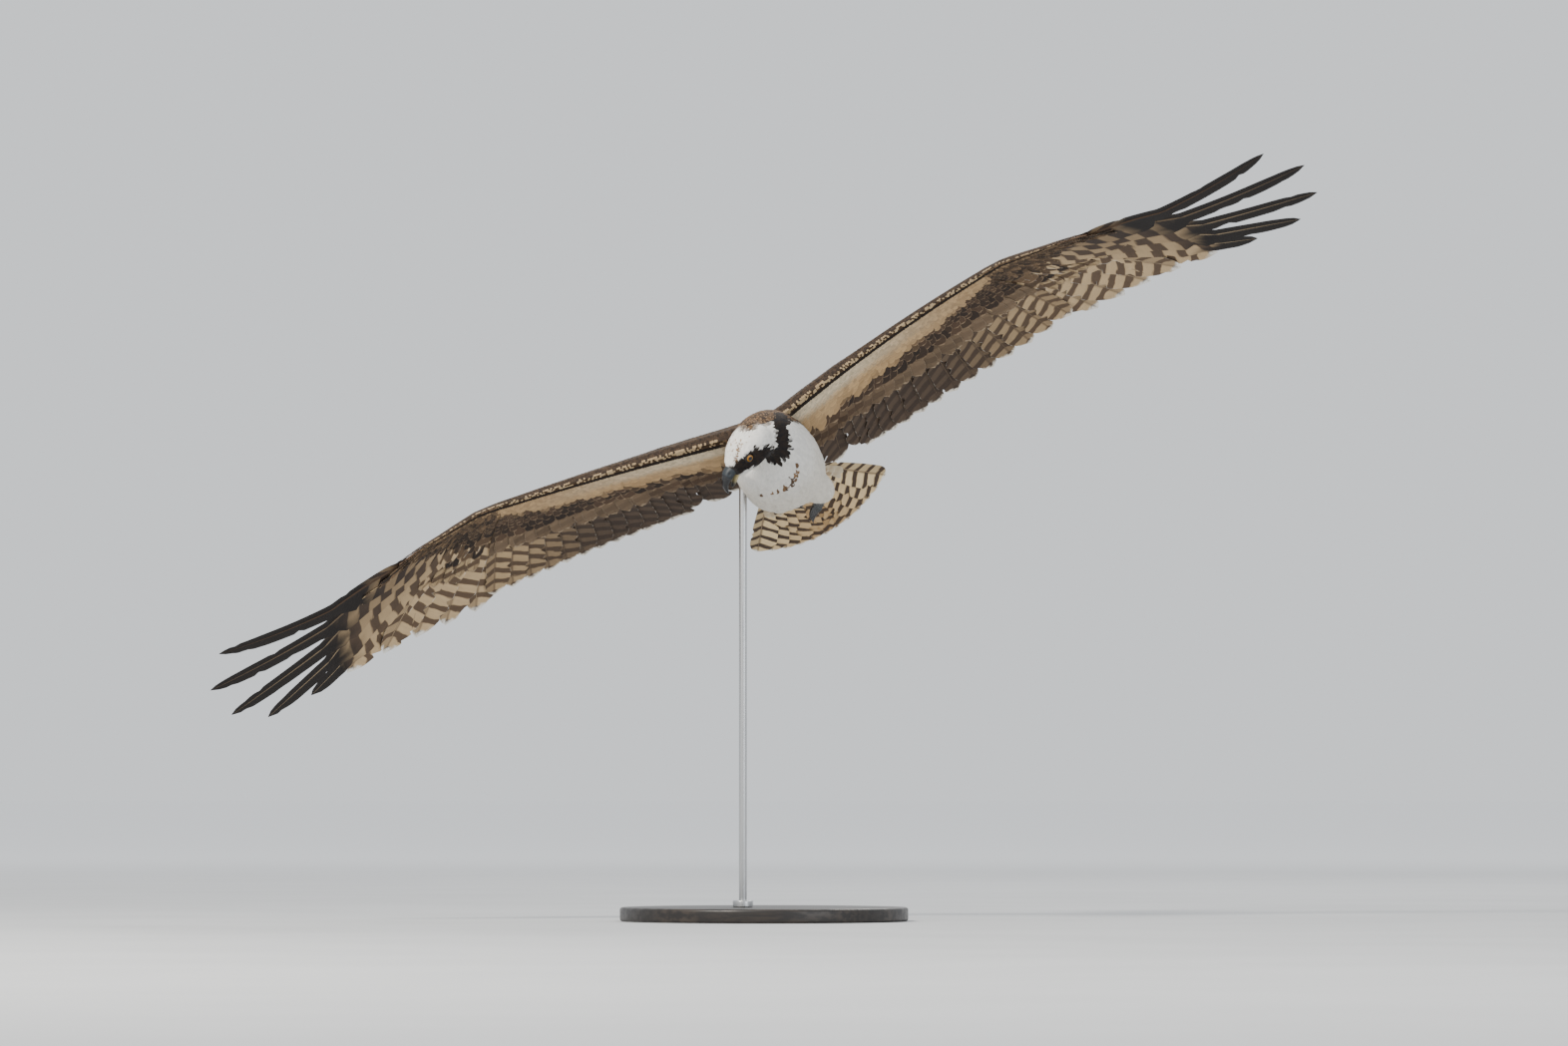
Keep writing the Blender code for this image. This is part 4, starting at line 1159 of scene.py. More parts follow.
# Rows of coverts from the leading edge back: kind, start and length as shares of the covert
# part, width and spacing in metres
COVERT_ROWS = (
    ("marginal", 0.000, 0.018, 0.0038, 0.0026), ("marginal", 0.007, 0.022, 0.0040, 0.0027),
    ("marginal", 0.016, 0.028, 0.0043, 0.0029), ("marginal", 0.028, 0.036, 0.0046, 0.0031),
    ("marginal", 0.044, 0.046, 0.0050, 0.0034), ("marginal", 0.063, 0.056, 0.0054, 0.0037),
    ("marginal", 0.085, 0.068, 0.0058, 0.0040), ("marginal", 0.112, 0.082, 0.0063, 0.0044),
    ("marginal", 0.144, 0.098, 0.0069, 0.0048), ("marginal", 0.182, 0.120, 0.0078, 0.0054),
    ("lesser", 0.225, 0.150, 0.0090, 0.0062), ("lesser", 0.275, 0.175, 0.0100, 0.0068),
    ("lesser", 0.330, 0.200, 0.0112, 0.0075), ("lesser", 0.390, 0.225, 0.0124, 0.0082),
    ("lesser", 0.455, 0.250, 0.0138, 0.0090), ("median", 0.530, 0.300, 0.0158, 0.0100),
    ("median", 0.620, 0.350, 0.0180, 0.0112), ("greater", 0.720, 0.400, 0.0220, 0.0130),
    ("last", 0.850, 0.560, 0.0260, 0.0145))


def make_coverts(wing, face):
    """All covert rows of one face of one wing, the rear rows first."""
    label = "upper" if face > 0 else "under"
    piece = Vanes("wing_%s_%s_coverts" % (wing.name, label))
    looks_of = upper_looks if face > 0 else under_looks
    inner_end = -0.16 if face > 0 else -0.12
    for index, (kind, share, length, width, spacing) in enumerate(COVERT_ROWS[::-1]):
        q = covert_places(wing, share, spacing, inner_end, 1.995, 0.5 * (index % 2))
        q = q + rng.normal(0, 0.12, len(q)) * spacing / wing.spread(q, np.full(len(q), 0.03))
        q = np.clip(q, *ROOT_LIMITS)
        front, _ = wing.lengths(q)
        small = along(((-0.2, 1.0), (1.5, 1.0), (2.0, 0.62)), q)
        start = share * front + rng.normal(0, 0.02, len(q)) * length * front
        if kind == "last" and face > 0:
            length = 0.30
        lengths = length * front * rng.uniform(0.92, 1.08, len(q))
        widths = width * small * rng.uniform(0.93, 1.07, len(q))
        slant = along(((-0.2, 0.0), (0.8, 0.10), (1.1, 0.05), (2.0, 0.30)), q)
        slant = slant + rng.normal(0, 0.05, len(q))
        looks = looks_of(wing, q, share + 0.6 * lengths / front, kind)
        rows, columns = (5, 3) if width < 0.0045 else (7, 5)
        if kind in ("greater", "last"):
            rows, columns = 11, 7
        slope = 0.09 if kind == "marginal" else 0.055
        patches = row_patches(q, share, face, 0.0045 if rows == 5 else 0.008)
        covert_batch(piece, wing, face, q, start, lengths, widths, slant, looks, rows, columns,
                     slope, patches)
    piece.build(COAT)


# Flesh: the same forms as the solids, drawn in by the depth of the coat

TRUNK_COAT = 0.0030
HEAD_COAT = 0.0011
WING_COAT = 0.0018
THIGH_COAT_SHARE = 0.7
FORM_VOXEL = 0.0022
SKIN_VOXEL = 0.0024
# Shares of the covert part at which a slice of the wing's flesh has points, and its least half
FLESH_MARKS = np.array((0.02, 0.06, 0.12, 0.22, 0.38, 0.56, 0.70))
LEAST_FLESH = 0.0009


def oval(centre, side, up, half_width, above, below, roundness=2.2, count=RING):
    angle = 2 * pi * np.arange(count) / count
    across = np.abs(np.cos(angle)) ** (2 / roundness) * np.sign(np.cos(angle))
    rise = np.abs(np.sin(angle)) ** (2 / roundness) * np.sign(np.sin(angle))
    height = np.where(rise > 0, above, below)
    return centre + side * (across * half_width)[:, None] + up * (rise * height)[:, None]


def ring_mesh(rings):
    """Vertices and faces of a closed solid through rings of equal count."""
    count = len(rings[0])
    vertices = [point for ring in rings for point in ring]
    faces = []
    for i in range(len(rings) - 1):
        for k in range(count):
            j = (k + 1) % count
            faces.append((i * count + k, i * count + j, (i + 1) * count + j, (i + 1) * count + k))
    for first in (0, (len(rings) - 1) * count):
        vertices.append(np.mean(vertices[first:first + count], axis=0))
        for k in range(count):
            faces.append((first + k, first + (k + 1) % count, len(vertices) - 1))
    return vertices, faces


def between(rows, steps):
    """Rows of a table with evenly spaced ones put in between."""
    rows = np.array(rows, float)
    at = np.linspace(0, len(rows) - 1, (len(rows) - 1) * steps + 1)
    return np.stack([np.interp(at, np.arange(len(rows)), rows[:, j])
                     for j in range(rows.shape[1])], axis=1)


def trunk_rings(coat):
    return [oval(body_point(x, 0, lift), LEFT, TRUNK_UP, max(w - coat, 0.004),
                 max(a - coat, 0.0025), max(b - coat, 0.0025))
            for x, w, a, b, lift in between(TRUNK, 2)]


def neck_centres():
    first = body_point(NECK_START, 0, 0)
    last = head_point(*NECK_END)
    reach = 1.1 * np.linalg.norm(last - first)
    arrive = unit(0.45 * TRUNK_FORWARD + HEAD_FORWARD)
    rows = []
    for k in range(NECK_STEPS + 1):
        t = k / NECK_STEPS
        ease = t * t * (3 - 2 * t)
        centre = ((2 * t ** 3 - 3 * t ** 2 + 1) * first
                  + (t ** 3 - 2 * t ** 2 + t) * reach * TRUNK_FORWARD
                  + (3 * t ** 2 - 2 * t ** 3) * last + (t ** 3 - t ** 2) * reach * arrive)
        rows.append((centre, unit(turn(TRUNK_FORWARD, arrive, ease)), ease))
    return rows


def neck_rings(coat):
    rings = []
    for centre, heading, ease in neck_centres():
        side = unit(LEFT - np.dot(LEFT, heading) * heading)
        up = np.cross(heading, side)
        depth = blend(coat, HEAD_COAT, ease)
        sizes = [blend(size, NECK_END_SIZE, ease ** 0.8) - depth for size in TRUNK[-1][1:4]]
        rings.append(oval(centre, side, up, *sizes))
    return rings


def head_rings(coat):
    return [oval(head_point(x, 0, 0), HEAD_LEFT, HEAD_UP, w - coat, a - coat, b - coat)
            for x, w, a, b in between(HEAD, 3)]


def thigh_rings(name, coat):
    rows = between(THIGH, 2)
    points = [leg_point(name, *row[:3]) for row in rows]
    rings = []
    for k, row in enumerate(rows):
        heading = unit(points[min(k + 1, len(rows) - 1)] - points[max(k - 1, 0)])
        across = unit(np.cross(heading, TRUNK_UP))
        rise = np.cross(across, heading)
        radius = max(row[3] - coat, 0.004)
        rings.append(oval(points[k], across, rise, radius, radius, radius, 2.0))
    return rings


def wing_rings(wing):
    """Slices of the arm and hand under their coverts, ending before the quills show."""
    rings = []
    for q in np.concatenate((np.linspace(-0.19, 1.0, 40), np.linspace(1.1, 1.97, 22))):
        front, _ = wing.lengths(q)
        marks = FLESH_MARKS * front
        top, _ = wing.at(q, marks, 1, -WING_COAT)
        low, _ = wing.at(q, marks, -1, -WING_COAT)
        middle, _ = wing.at(q, marks)
        up = wing.slice_at(np.array(q))[3]
        rise = np.maximum(dot(top - middle, up), LEAST_FLESH)[:, None]
        fall = np.maximum(dot(middle - low, up), LEAST_FLESH)[:, None]
        rings.append(np.concatenate((middle + up * rise, (middle - up * fall)[::-1])))
    return rings


def joined(name, parts):
    vertices = []
    faces = []
    for points, polygons in parts:
        first = len(vertices)
        vertices += list(points)
        faces += [tuple(first + k for k in polygon) for polygon in polygons]
    return object_of(name, vertices, faces, None)


def fused(item, voxel, rounds):
    """One closed, smoothed surface round all the joined forms."""
    remesh = item.modifiers.new("fuse", "REMESH")
    remesh.mode = "VOXEL"
    remesh.voxel_size = voxel
    smooth = item.modifiers.new("soften", "SMOOTH")
    smooth.factor = 0.5
    smooth.iterations = rounds
    evaluated = item.evaluated_get(bpy.context.evaluated_depsgraph_get())
    mesh = bpy.data.meshes.new_from_object(evaluated)
    bpy.data.objects.remove(item)
    return mesh


def mesh_points(mesh):
    points = np.empty(len(mesh.vertices) * 3)
    mesh.vertices.foreach_get("co", points)
    return points.reshape(-1, 3)


def mesh_normals(mesh):
    normals = np.empty(len(mesh.vertices) * 3)
    mesh.vertex_normals.foreach_get("vector", normals)
    return normals.reshape(-1, 3)


class Surface:
    """A mesh that points can be laid on, with smooth normals."""

    def __init__(self, mesh):
        mesh.calc_loop_triangles()
        self.points = mesh_points(mesh)
        self.normals = mesh_normals(mesh)
        corners = np.empty(len(mesh.loop_triangles) * 3, np.int32)
        mesh.loop_triangles.foreach_get("vertices", corners)
        self.corners = corners.reshape(-1, 3)
        loops = np.empty(len(mesh.loop_triangles) * 3, np.int32)
        mesh.loop_triangles.foreach_get("loops", loops)
        self.loops = loops.reshape(-1, 3)
        self.tree = BVHTree.FromPolygons(self.points.tolist(), self.corners.tolist())

    def settle(self, places):
        """Nearest surface points, smooth normals, triangles and weights for many places."""
        flat = np.asarray(places, float).reshape(-1, 3)
        found = np.empty((len(flat), 3))
        face = np.empty(len(flat), np.int64)
        find = self.tree.find_nearest
        for k, place in enumerate(flat.tolist()):
            spot, _, index, _ = find(place)
            found[k] = spot
            face[k] = index
        a, b, c = (self.points[self.corners[face, j]] for j in range(3))
        whole = np.cross(b - a, c - a)
        size = np.maximum(dot(whole, whole), 1e-20)
        w0 = dot(np.cross(b - found, c - found), whole) / size
        w1 = dot(np.cross(c - found, a - found), whole) / size
        weights = np.clip(np.stack((w0, w1, 1 - w0 - w1), axis=1), 0, 1)
        normals = sum(self.normals[self.corners[face, j]] * weights[:, j:j + 1] for j in range(3))
        shape = np.shape(places)
        return found.reshape(shape), unit(normals).reshape(shape), face, weights


# Relief round the eye: brow, hollow ahead of it, opening and rolled edge of the lids, and
# the room between eyeball, socket and lids
BROW_RIDGE = 0.0016
CHEEK_HOLLOW = 0.0009
LID_OPEN = 0.0054
LID_WIDTH = 0.0022
LID_EDGE = 0.0007
SOCKET_GAP = 0.0014
LID_GAP = 0.0005


def shape_head(mesh, with_lids):
    """Adds the brow over each eye and the hollow ahead of it, and on the skin the lids."""
    points = mesh_points(mesh)
    for side in (1, -1):
        axis = HEAD_LEFT * side
        away = points - eye_point(side)
        height = away @ axis
        flat = away - height[:, None] * axis
        off = np.linalg.norm(flat, axis=1)
        near = (height > -0.006) & (off < 0.024)
        above = dot(unit(flat), unit(HEAD_UP + 0.25 * HEAD_FORWARD))
        ridge = (smooth_step(0.2, 0.8, above) * smooth_step(0.0055, 0.0085, off)
                 * smooth_step(0.0150, 0.0095, off))
        points += np.where(near, BROW_RIDGE * ridge, 0)[:, None] * axis
        hollow = smooth_step(0.0, 0.6, dot(unit(flat), unit(HEAD_FORWARD - 0.3 * HEAD_UP)))
        hollow = hollow * smooth_step(0.007, 0.010, off) * smooth_step(0.017, 0.011, off)
        points -= np.where(near, CHEEK_HOLLOW * hollow, 0)[:, None] * axis
        if with_lids:
            ball = np.sqrt(np.maximum(EYE_RADIUS ** 2 - off ** 2, 0))
            inside = near & (off < LID_OPEN)
            points -= np.where(inside, height - ball + SOCKET_GAP, 0)[:, None] * axis
            lid = (off - LID_OPEN) / LID_WIDTH
            bump = np.where((lid > 0) & (lid < 1), np.sin(pi * np.clip(lid, 0, 1)), 0)
            rim = near & (lid >= 0) & (lid < 1)
            wanted = np.maximum(height + LID_EDGE * bump, ball + LID_GAP)
            points += np.where(rim, wanted - height, 0)[:, None] * axis
    mesh.vertices.foreach_set("co", points.astype(np.float32).ravel())
    mesh.update()


def refined(mesh, centre, reach, cuts):
    """Splits the faces near a point into smaller ones."""
    work = bmesh.new()
    work.from_mesh(mesh)
    middle = Vector(centre)
    edges = [edge for edge in work.edges
             if all((end.co - middle).length < reach for end in edge.verts)]
    bmesh.ops.subdivide_edges(work, edges=edges, cuts=cuts, use_grid_fill=True, smooth=0.0)
    bmesh.ops.triangulate(work, faces=[face for face in work.faces if len(face.verts) > 4])
    work.to_mesh(mesh)
    work.free()


wings = {name: Wing(name, **plan) for name, plan in WINGS.items()}


def flesh_parts(trunk_coat, head_coat, with_wings):
    forms = [trunk_rings(trunk_coat), neck_rings(trunk_coat), head_rings(head_coat)]
    forms += [thigh_rings(name, trunk_coat * THIGH_COAT_SHARE) for name in LEG_TUCK]
    if with_wings:
        forms += [wing_rings(wing) for wing in wings.values()]
    return [ring_mesh(rings) for rings in forms]


# Markings of the body, from the species and the photograph

MASK = (  # centre line of the left stripe in head or trunk axes, and half widths
    ("head", 0.0310, 0.0020, -0.0010, 0.0088), ("head", 0.0240, 0.0140, 0.0015, 0.0102),
    ("head", 0.0085, 0.0215, 0.0000, 0.0124), ("head", -0.0010, 0.0238, -0.0060, 0.0145),
    ("head", -0.0060, 0.0210, -0.0150, 0.0165), ("trunk", 0.1540, -0.0040, -0.0310, 0.0165),
    ("trunk", 0.1390, 0.0050, -0.0290, 0.0155), ("trunk", 0.1420, 0.0150, -0.0270, 0.0150),
    ("trunk", 0.1500, 0.0225, -0.0190, 0.0145), ("trunk", 0.1540, 0.0260, -0.0090, 0.0140),
    ("trunk", 0.1530, 0.0290, 0.0020, 0.0135), ("trunk", 0.1460, 0.0325, 0.0120, 0.0125),
    ("trunk", 0.1320, 0.0380, 0.0200, 0.0110))
BROW = ((0.0220, 0.0110, 0.0110), (0.0120, 0.0130, 0.0180), (0.0020, 0.0110, 0.0225))
BROW_HALF_WIDTH = 0.0030
NECKLACE = ((0.058, -0.0400, -0.039), (0.065, -0.0265, -0.0473), (0.067, -0.0140, -0.0515),
            (0.0705, -0.0013, -0.0528), (0.077, 0.0090, -0.0507), (0.091, 0.0170, -0.0472),
            (0.102, 0.0237, -0.0420))
NECKLACE_HALF_WIDTH = 0.0042


# Beyond the head the right side's stripe follows places of its own
RIGHT_HEAD_STRIPE = ((-0.020, -0.024, -0.006, 0.0085),)
RIGHT_NECK_STRIPE = ((0.140, -0.040, 0.010, 0.0100), (0.115, -0.046, 0.020, 0.0090))


def mask_path(side):
    """Places and half widths of one side's stripe."""
    rows = [(head_point(forward, left * side, up), width)
            for part, forward, left, up, width in MASK if part == "head"]
    if side > 0:
        rows += [(body_point(forward, left, up), width)
                 for part, forward, left, up, width in MASK if part == "trunk"]
    else:
        rows += [(head_point(*row[:3]), row[3]) for row in RIGHT_HEAD_STRIPE]
        rows += [(body_point(*row[:3]), row[3]) for row in RIGHT_NECK_STRIPE]
    return np.array([row[0] for row in rows]), np.array([row[1] for row in rows])


def from_line(points, first, last):
    """Share along a straight line of the place nearest to each point, and the distance to it."""
    line = last - first
    share = np.clip((points - first) @ line / (line @ line), 0, 1)
    return share, np.linalg.norm(points - (first + share[:, None] * line), axis=1)


def path_depth(points, path, widths):
    """How deep points lie in a band along a path: 1 on its middle line, 0 at its edge."""
    best = np.full(len(points), -9.0)
    for a, b, wa, wb in zip(path, path[1:], widths, widths[1:]):
        share, away = from_line(points, a, b)
        best = np.maximum(best, 1 - away / blend(wa, wb, share))
    return best


MASKS = [mask_path(1), mask_path(-1)]
BROWS = [np.array([head_point(f, left * side, up) for f, left, up in BROW]) for side in (1, -1)]
NECKLACE_PATH = np.array([body_point(*place) for place in NECKLACE])
AXIS_LIFT = [(row[0], row[4]) for row in TRUNK]
ABOVE_AXIS = [(row[0], row[2]) for row in TRUNK]


def wavy(points, scale, seed):
    """Smooth made-up variation from -1 to 1, the same for skin and coat."""
    total = np.zeros(len(points))
    turns = np.random.default_rng(seed)
    for _ in range(6):
        direction = turns.normal(size=3)
        total += np.sin(points @ direction * scale + turns.uniform(0, 2 * pi))
    return total / 3.0


# Colours of the vent, and of the fringes on hind neck, mantle and nape
VENT_CREAM = np.array((0.64, 0.54, 0.39))
NECK_RIM = (0.25, 0.155, 0.085)
MANTLE_RIM = (0.19, 0.13, 0.08)
NAPE_RIM = (0.34, 0.23, 0.14)


def brown_share(points, trunk, on_head):
    """Shares of brown on the hind neck and back, and of the back in that."""
    neck_left = trunk[:, 1] + 0.30 * (trunk[:, 0] - 0.10)
    neck_line = -0.004 + 0.30 * np.maximum(neck_left, 0) - 0.12 * np.minimum(neck_left, 0)
    neck_line = neck_line + 0.003 * wavy(points, 260, 3)
    hind_neck = smooth_step(-0.004, 0.006, trunk[:, 2] - neck_line) * (1 - on_head)
    back = smooth_step(0.105, 0.075, trunk[:, 0])
    rise = trunk[:, 2] - along(AXIS_LIFT, trunk[:, 0])
    above = along(ABOVE_AXIS, trunk[:, 0])
    back_line = np.minimum(0.020, 0.30 * above) + 0.06 * above * wavy(points, 200, 4)
    back_part = smooth_step(-0.08, 0.08, (rise - back_line) / above)
    return np.clip(blend(hind_neck, back_part, back), 0, 1), back


def body_colours(points, chance):
    """Ground, rim and rim width of the coat at world points."""
    head = in_head(points)
    trunk = in_trunk(points)
    number = len(points)
    ground = np.tile(WHITE, (number, 1)) * (0.94 + 0.08 * chance)[:, None]
    rim = np.tile(WHITE, (number, 1))
    rim_width = np.full(number, 0.3)
    low = smooth_step(0.110, 0.02, trunk[:, 0]) * smooth_step(0.01, -0.03, trunk[:, 2])
    ground = tint(ground, VENT_CREAM, 0.45 * low)
    rim = tint(rim, VENT_CREAM * 1.1, 0.45 * low)

    from_head = np.linalg.norm(points - HEAD_CENTRE, axis=1)
    on_head = smooth_step(0.034, 0.029, from_head - 0.10 * np.maximum(head[:, 0], 0))
    brown, back = brown_share(points, trunk, on_head)
    mottle = tint(DARK, TAWNY * 0.42, chance ** 1.8)
    mantle = tint(DARK * 0.9, BROWN * 0.9, chance)
    ground = tint(ground, tint(mottle, mantle, back), brown)
    rim = tint(rim, tint(NECK_RIM, MANTLE_RIM, back), brown)
    rim_width = blend(rim_width, blend(0.20, 0.11, back), brown)

    nape_line = -0.012 - np.abs(head[:, 1]) + 0.002 * wavy(points, 500, 6)
    nape = on_head * smooth_step(0.002, -0.002, head[:, 0] - nape_line)
    nape = nape * smooth_step(0.002, 0.008, head[:, 2])
    ground = tint(ground, mottle, nape)
    rim = tint(rim, NAPE_RIM, nape)
    for brow in BROWS:
        dark_brow = (path_depth(points, brow, np.full(3, BROW_HALF_WIDTH)) > 0) & (chance > 0.30)
        ground = np.where(dark_brow[:, None], TAWNY * 0.55, ground)
        rim_width = np.where(dark_brow, 0.30, rim_width)
    crown = on_head * smooth_step(0.016, 0.022, head[:, 2]) * (1 - nape)
    ground = tint(ground, TAWNY, 0.8 * (crown * (chance > 0.86)))

    edge = 0.16 * wavy(points, 700, 5) + 0.20 * (chance - 0.5)
    soot = tint(BLACK, BROWN * 0.35, 0.7 * chance)
    for path, widths in MASKS:
        depth = smooth_step(-0.06, 0.10, path_depth(points, path, widths) + edge)
        ground = tint(ground, soot, depth)
        rim = tint(rim, soot * 1.25, depth)
        rim_width = rim_width * (1 - 0.6 * depth)
    flecks = path_depth(points, NECKLACE_PATH, np.full(len(NECKLACE), NECKLACE_HALF_WIDTH))
    flecked = (flecks > 0) & (chance > 0.22)
    ground = np.where(flecked[:, None], tint(TAWNY, BROWN * 0.8, chance), ground)
    rim = np.where(flecked[:, None], WHITE * 0.95, rim)
    rim_width = np.where(flecked, 0.16, rim_width)
    return ground, rim, rim_width


# Coat of the body

SPINE = [head_point(0.034, 0, -0.002), head_point(0.018, 0, 0), head_point(-0.004, 0, 0)]
SPINE += [row[0] for row in neck_centres()[::-1][2:]]
SPINE += [body_point(x, 0, lift) for x, _, _, _, lift in TRUNK[::-1]]
SPINE = np.array(SPINE)
SPINE_RUN = np.gradient(SPINE, axis=0)
BILL_ROOT = head_point(0.036, 0, -0.003)


def coat_lie(points, normals):
    """Direction in which feathers point: away from the bill, then back along the body."""
    away = np.linalg.norm(points[:, None] - SPINE[None], axis=2)
    weight = 1 / (away ** 2 + 1e-5) ** 3
    run = unit((weight[..., None] * unit(SPINE_RUN)[None]).sum(1) / weight.sum(1)[:, None])
    radial = unit(points - BILL_ROOT)
    near = smooth_step(0.060, 0.020, np.linalg.norm(points - BILL_ROOT, axis=1))
    run = blend(run, radial, (0.9 * near)[:, None])
    for name in LEG_TUCK:
        first = leg_point(name, *THIGH[0][:3])
        last = leg_point(name, *THIGH[-1][:3])
        _, off = from_line(points, first, last)
        run = blend(run, unit(last - first), (0.8 * smooth_step(0.034, 0.020, off))[:, None])
    for side in (1, -1):
        eye = eye_point(side)
        off = np.linalg.norm(points - eye, axis=1)
        run = blend(run, unit(points - eye), (0.75 * smooth_step(0.0150, 0.0085, off))[:, None])
    run = run - dot(run, normals)[:, None] * normals
    return unit(run)


# Gaps between roots by distance from the bill, and by place along the trunk
HEAD_GAPS = ((0.0, 0.0010), (0.012, 0.0012), (0.035, 0.0017), (0.065, 0.0025))
BODY_GAPS = ((0.0, 0.0050), (0.09, 0.0044), (0.125, 0.0036), (0.16, 0.0029))
# Length of a feather by distance from the bill, and its width, as shares of the gap
LENGTH_RATIO = ((0, 3.2), (0.03, 4.0), (0.07, 4.8), (0.12, 5.4))
WIDTH_RATIO = 1.9
# Tilt across a contour feather, and drop of its sides
COAT_ROLL = 0.05
COAT_CROWN = 0.22
# A feather takes the colour of the coat at this share of its length
SHOWN_SHARE = 0.86
# Side of a feather's square on the bake sheet
BAKE_PATCH = 0.003


def coat_spacing(points):
    """Distance between feather roots: smallest on the face, largest on the back."""
    from_bill = np.linalg.norm(points - BILL_ROOT, axis=1)
    head_gap = along(HEAD_GAPS, from_bill)
    trunk = in_trunk(points)
    body_gap = along(BODY_GAPS, trunk[:, 0])
    rise = trunk[:, 2] - along(AXIS_LIFT, trunk[:, 0])
    back = smooth_step(0.02, 0.04, rise) * smooth_step(0.12, 0.08, trunk[:, 0])
    return blend(head_gap, body_gap * (1 + 0.45 * back), smooth_step(0.050, 0.078, from_bill))


# Side of the cubes in which chosen roots are looked up
CELL = 0.004


def is_free(grid, key, point, gap):
    """True where no chosen point in the cells round this one is closer than the gap."""
    reach = int(np.ceil(gap / CELL))
    steps = range(-reach, reach + 1)
    x, y, z = key
    for i in steps:
        for j in steps:
            for m in steps:
                for other in grid.get((x + i, y + j, z + m), ()):
                    d = other - point
                    if d[0] * d[0] + d[1] * d[1] + d[2] * d[2] < gap * gap:
                        return False
    return True


def scattered(surface, spacing_of, keep):
    """Random points on a surface, none closer to another than its local spacing."""
    a, b, c = (surface.points[surface.corners[:, j]] for j in range(3))
    area = np.linalg.norm(np.cross(b - a, c - a), axis=1) / 2
    wanted = area / spacing_of((a + b + c) / 3) ** 2 * 5.0
    count = int(wanted.sum())
    face = rng.choice(len(area), size=count, p=wanted / wanted.sum())
    u = rng.uniform(size=(count, 2))
    flip = u.sum(1) > 1
    u[flip] = 1 - u[flip]
    points = a[face] + u[:, :1] * (b - a)[face] + u[:, 1:] * (c - a)[face]
    points = points[keep(points)]
    grid = {}
    chosen = []
    keys = map(tuple, np.floor(points / CELL).astype(int).tolist())
    for key, point, gap in zip(keys, points, spacing_of(points)):
        if is_free(grid, key, point, gap):
            grid.setdefault(key, []).append(point)
            chosen.append(point)
    return np.array(chosen)


def inside_wing(points):
    """True where a point lies within a wing's arm, where no body feather grows."""
    inside = np.zeros(len(points), bool)
    for wing in wings.values():
        line = wing.arm_line
        s = (points - wing.shoulder) @ line / (line @ line)
        start, _, end, up, depth = wing.slice_at(np.clip(s, -0.2, 0.5))
        back = unit(end - start)
        distance = dot(points - start, back)
        height = dot(points - start, up)
        front, rear = wing.lengths(np.clip(s, -0.2, 0.5))
        share = distance / (front + rear)
        height = height - 4 * CAMBER * share * (1 - share) * (front + rear)
        half = along(PROFILE, np.clip(distance / front, 0, 1)) * depth / 2 + 0.001
        inside |= ((s > -0.14) & (distance > 0.002) & (distance < front + rear)
                   & (np.abs(height) < half * 0.8))
    return inside


# Bare width round the eyeball, and where the coat ends on the face and on the rump
EYE_BARE = 0.0004
FACE_END = 0.0305
RUMP_END = -0.168


def keep_for_coat(points):
    keep = ~inside_wing(points)
    for side in (1, -1):
        keep &= np.linalg.norm(points - eye_point(side), axis=1) > EYE_RADIUS + EYE_BARE
    return keep & (in_head(points)[:, 0] < FACE_END) & (in_trunk(points)[:, 0] > RUMP_END)


def coat_regions(from_bill, trunk):
    """Name, feathers, rows, columns, slope and vane thickness of each region of the coat."""
    head = from_bill < 0.072
    neck = ~head & (trunk[:, 0] > 0.085)
    back = ~head & ~neck & (trunk[:, 2] - along(AXIS_LIFT, trunk[:, 0]) > 0.012)
    return (("head_feathers", head, 5, 5, 0.075, 0.00022),
            ("neck_feathers", neck, 6, 5, 0.050, 0.00030),
            ("back_feathers", back, 7, 7, 0.060, 0.00030),
            ("belly_feathers", ~head & ~neck & ~back, 6, 7, 0.036, 0.00030))


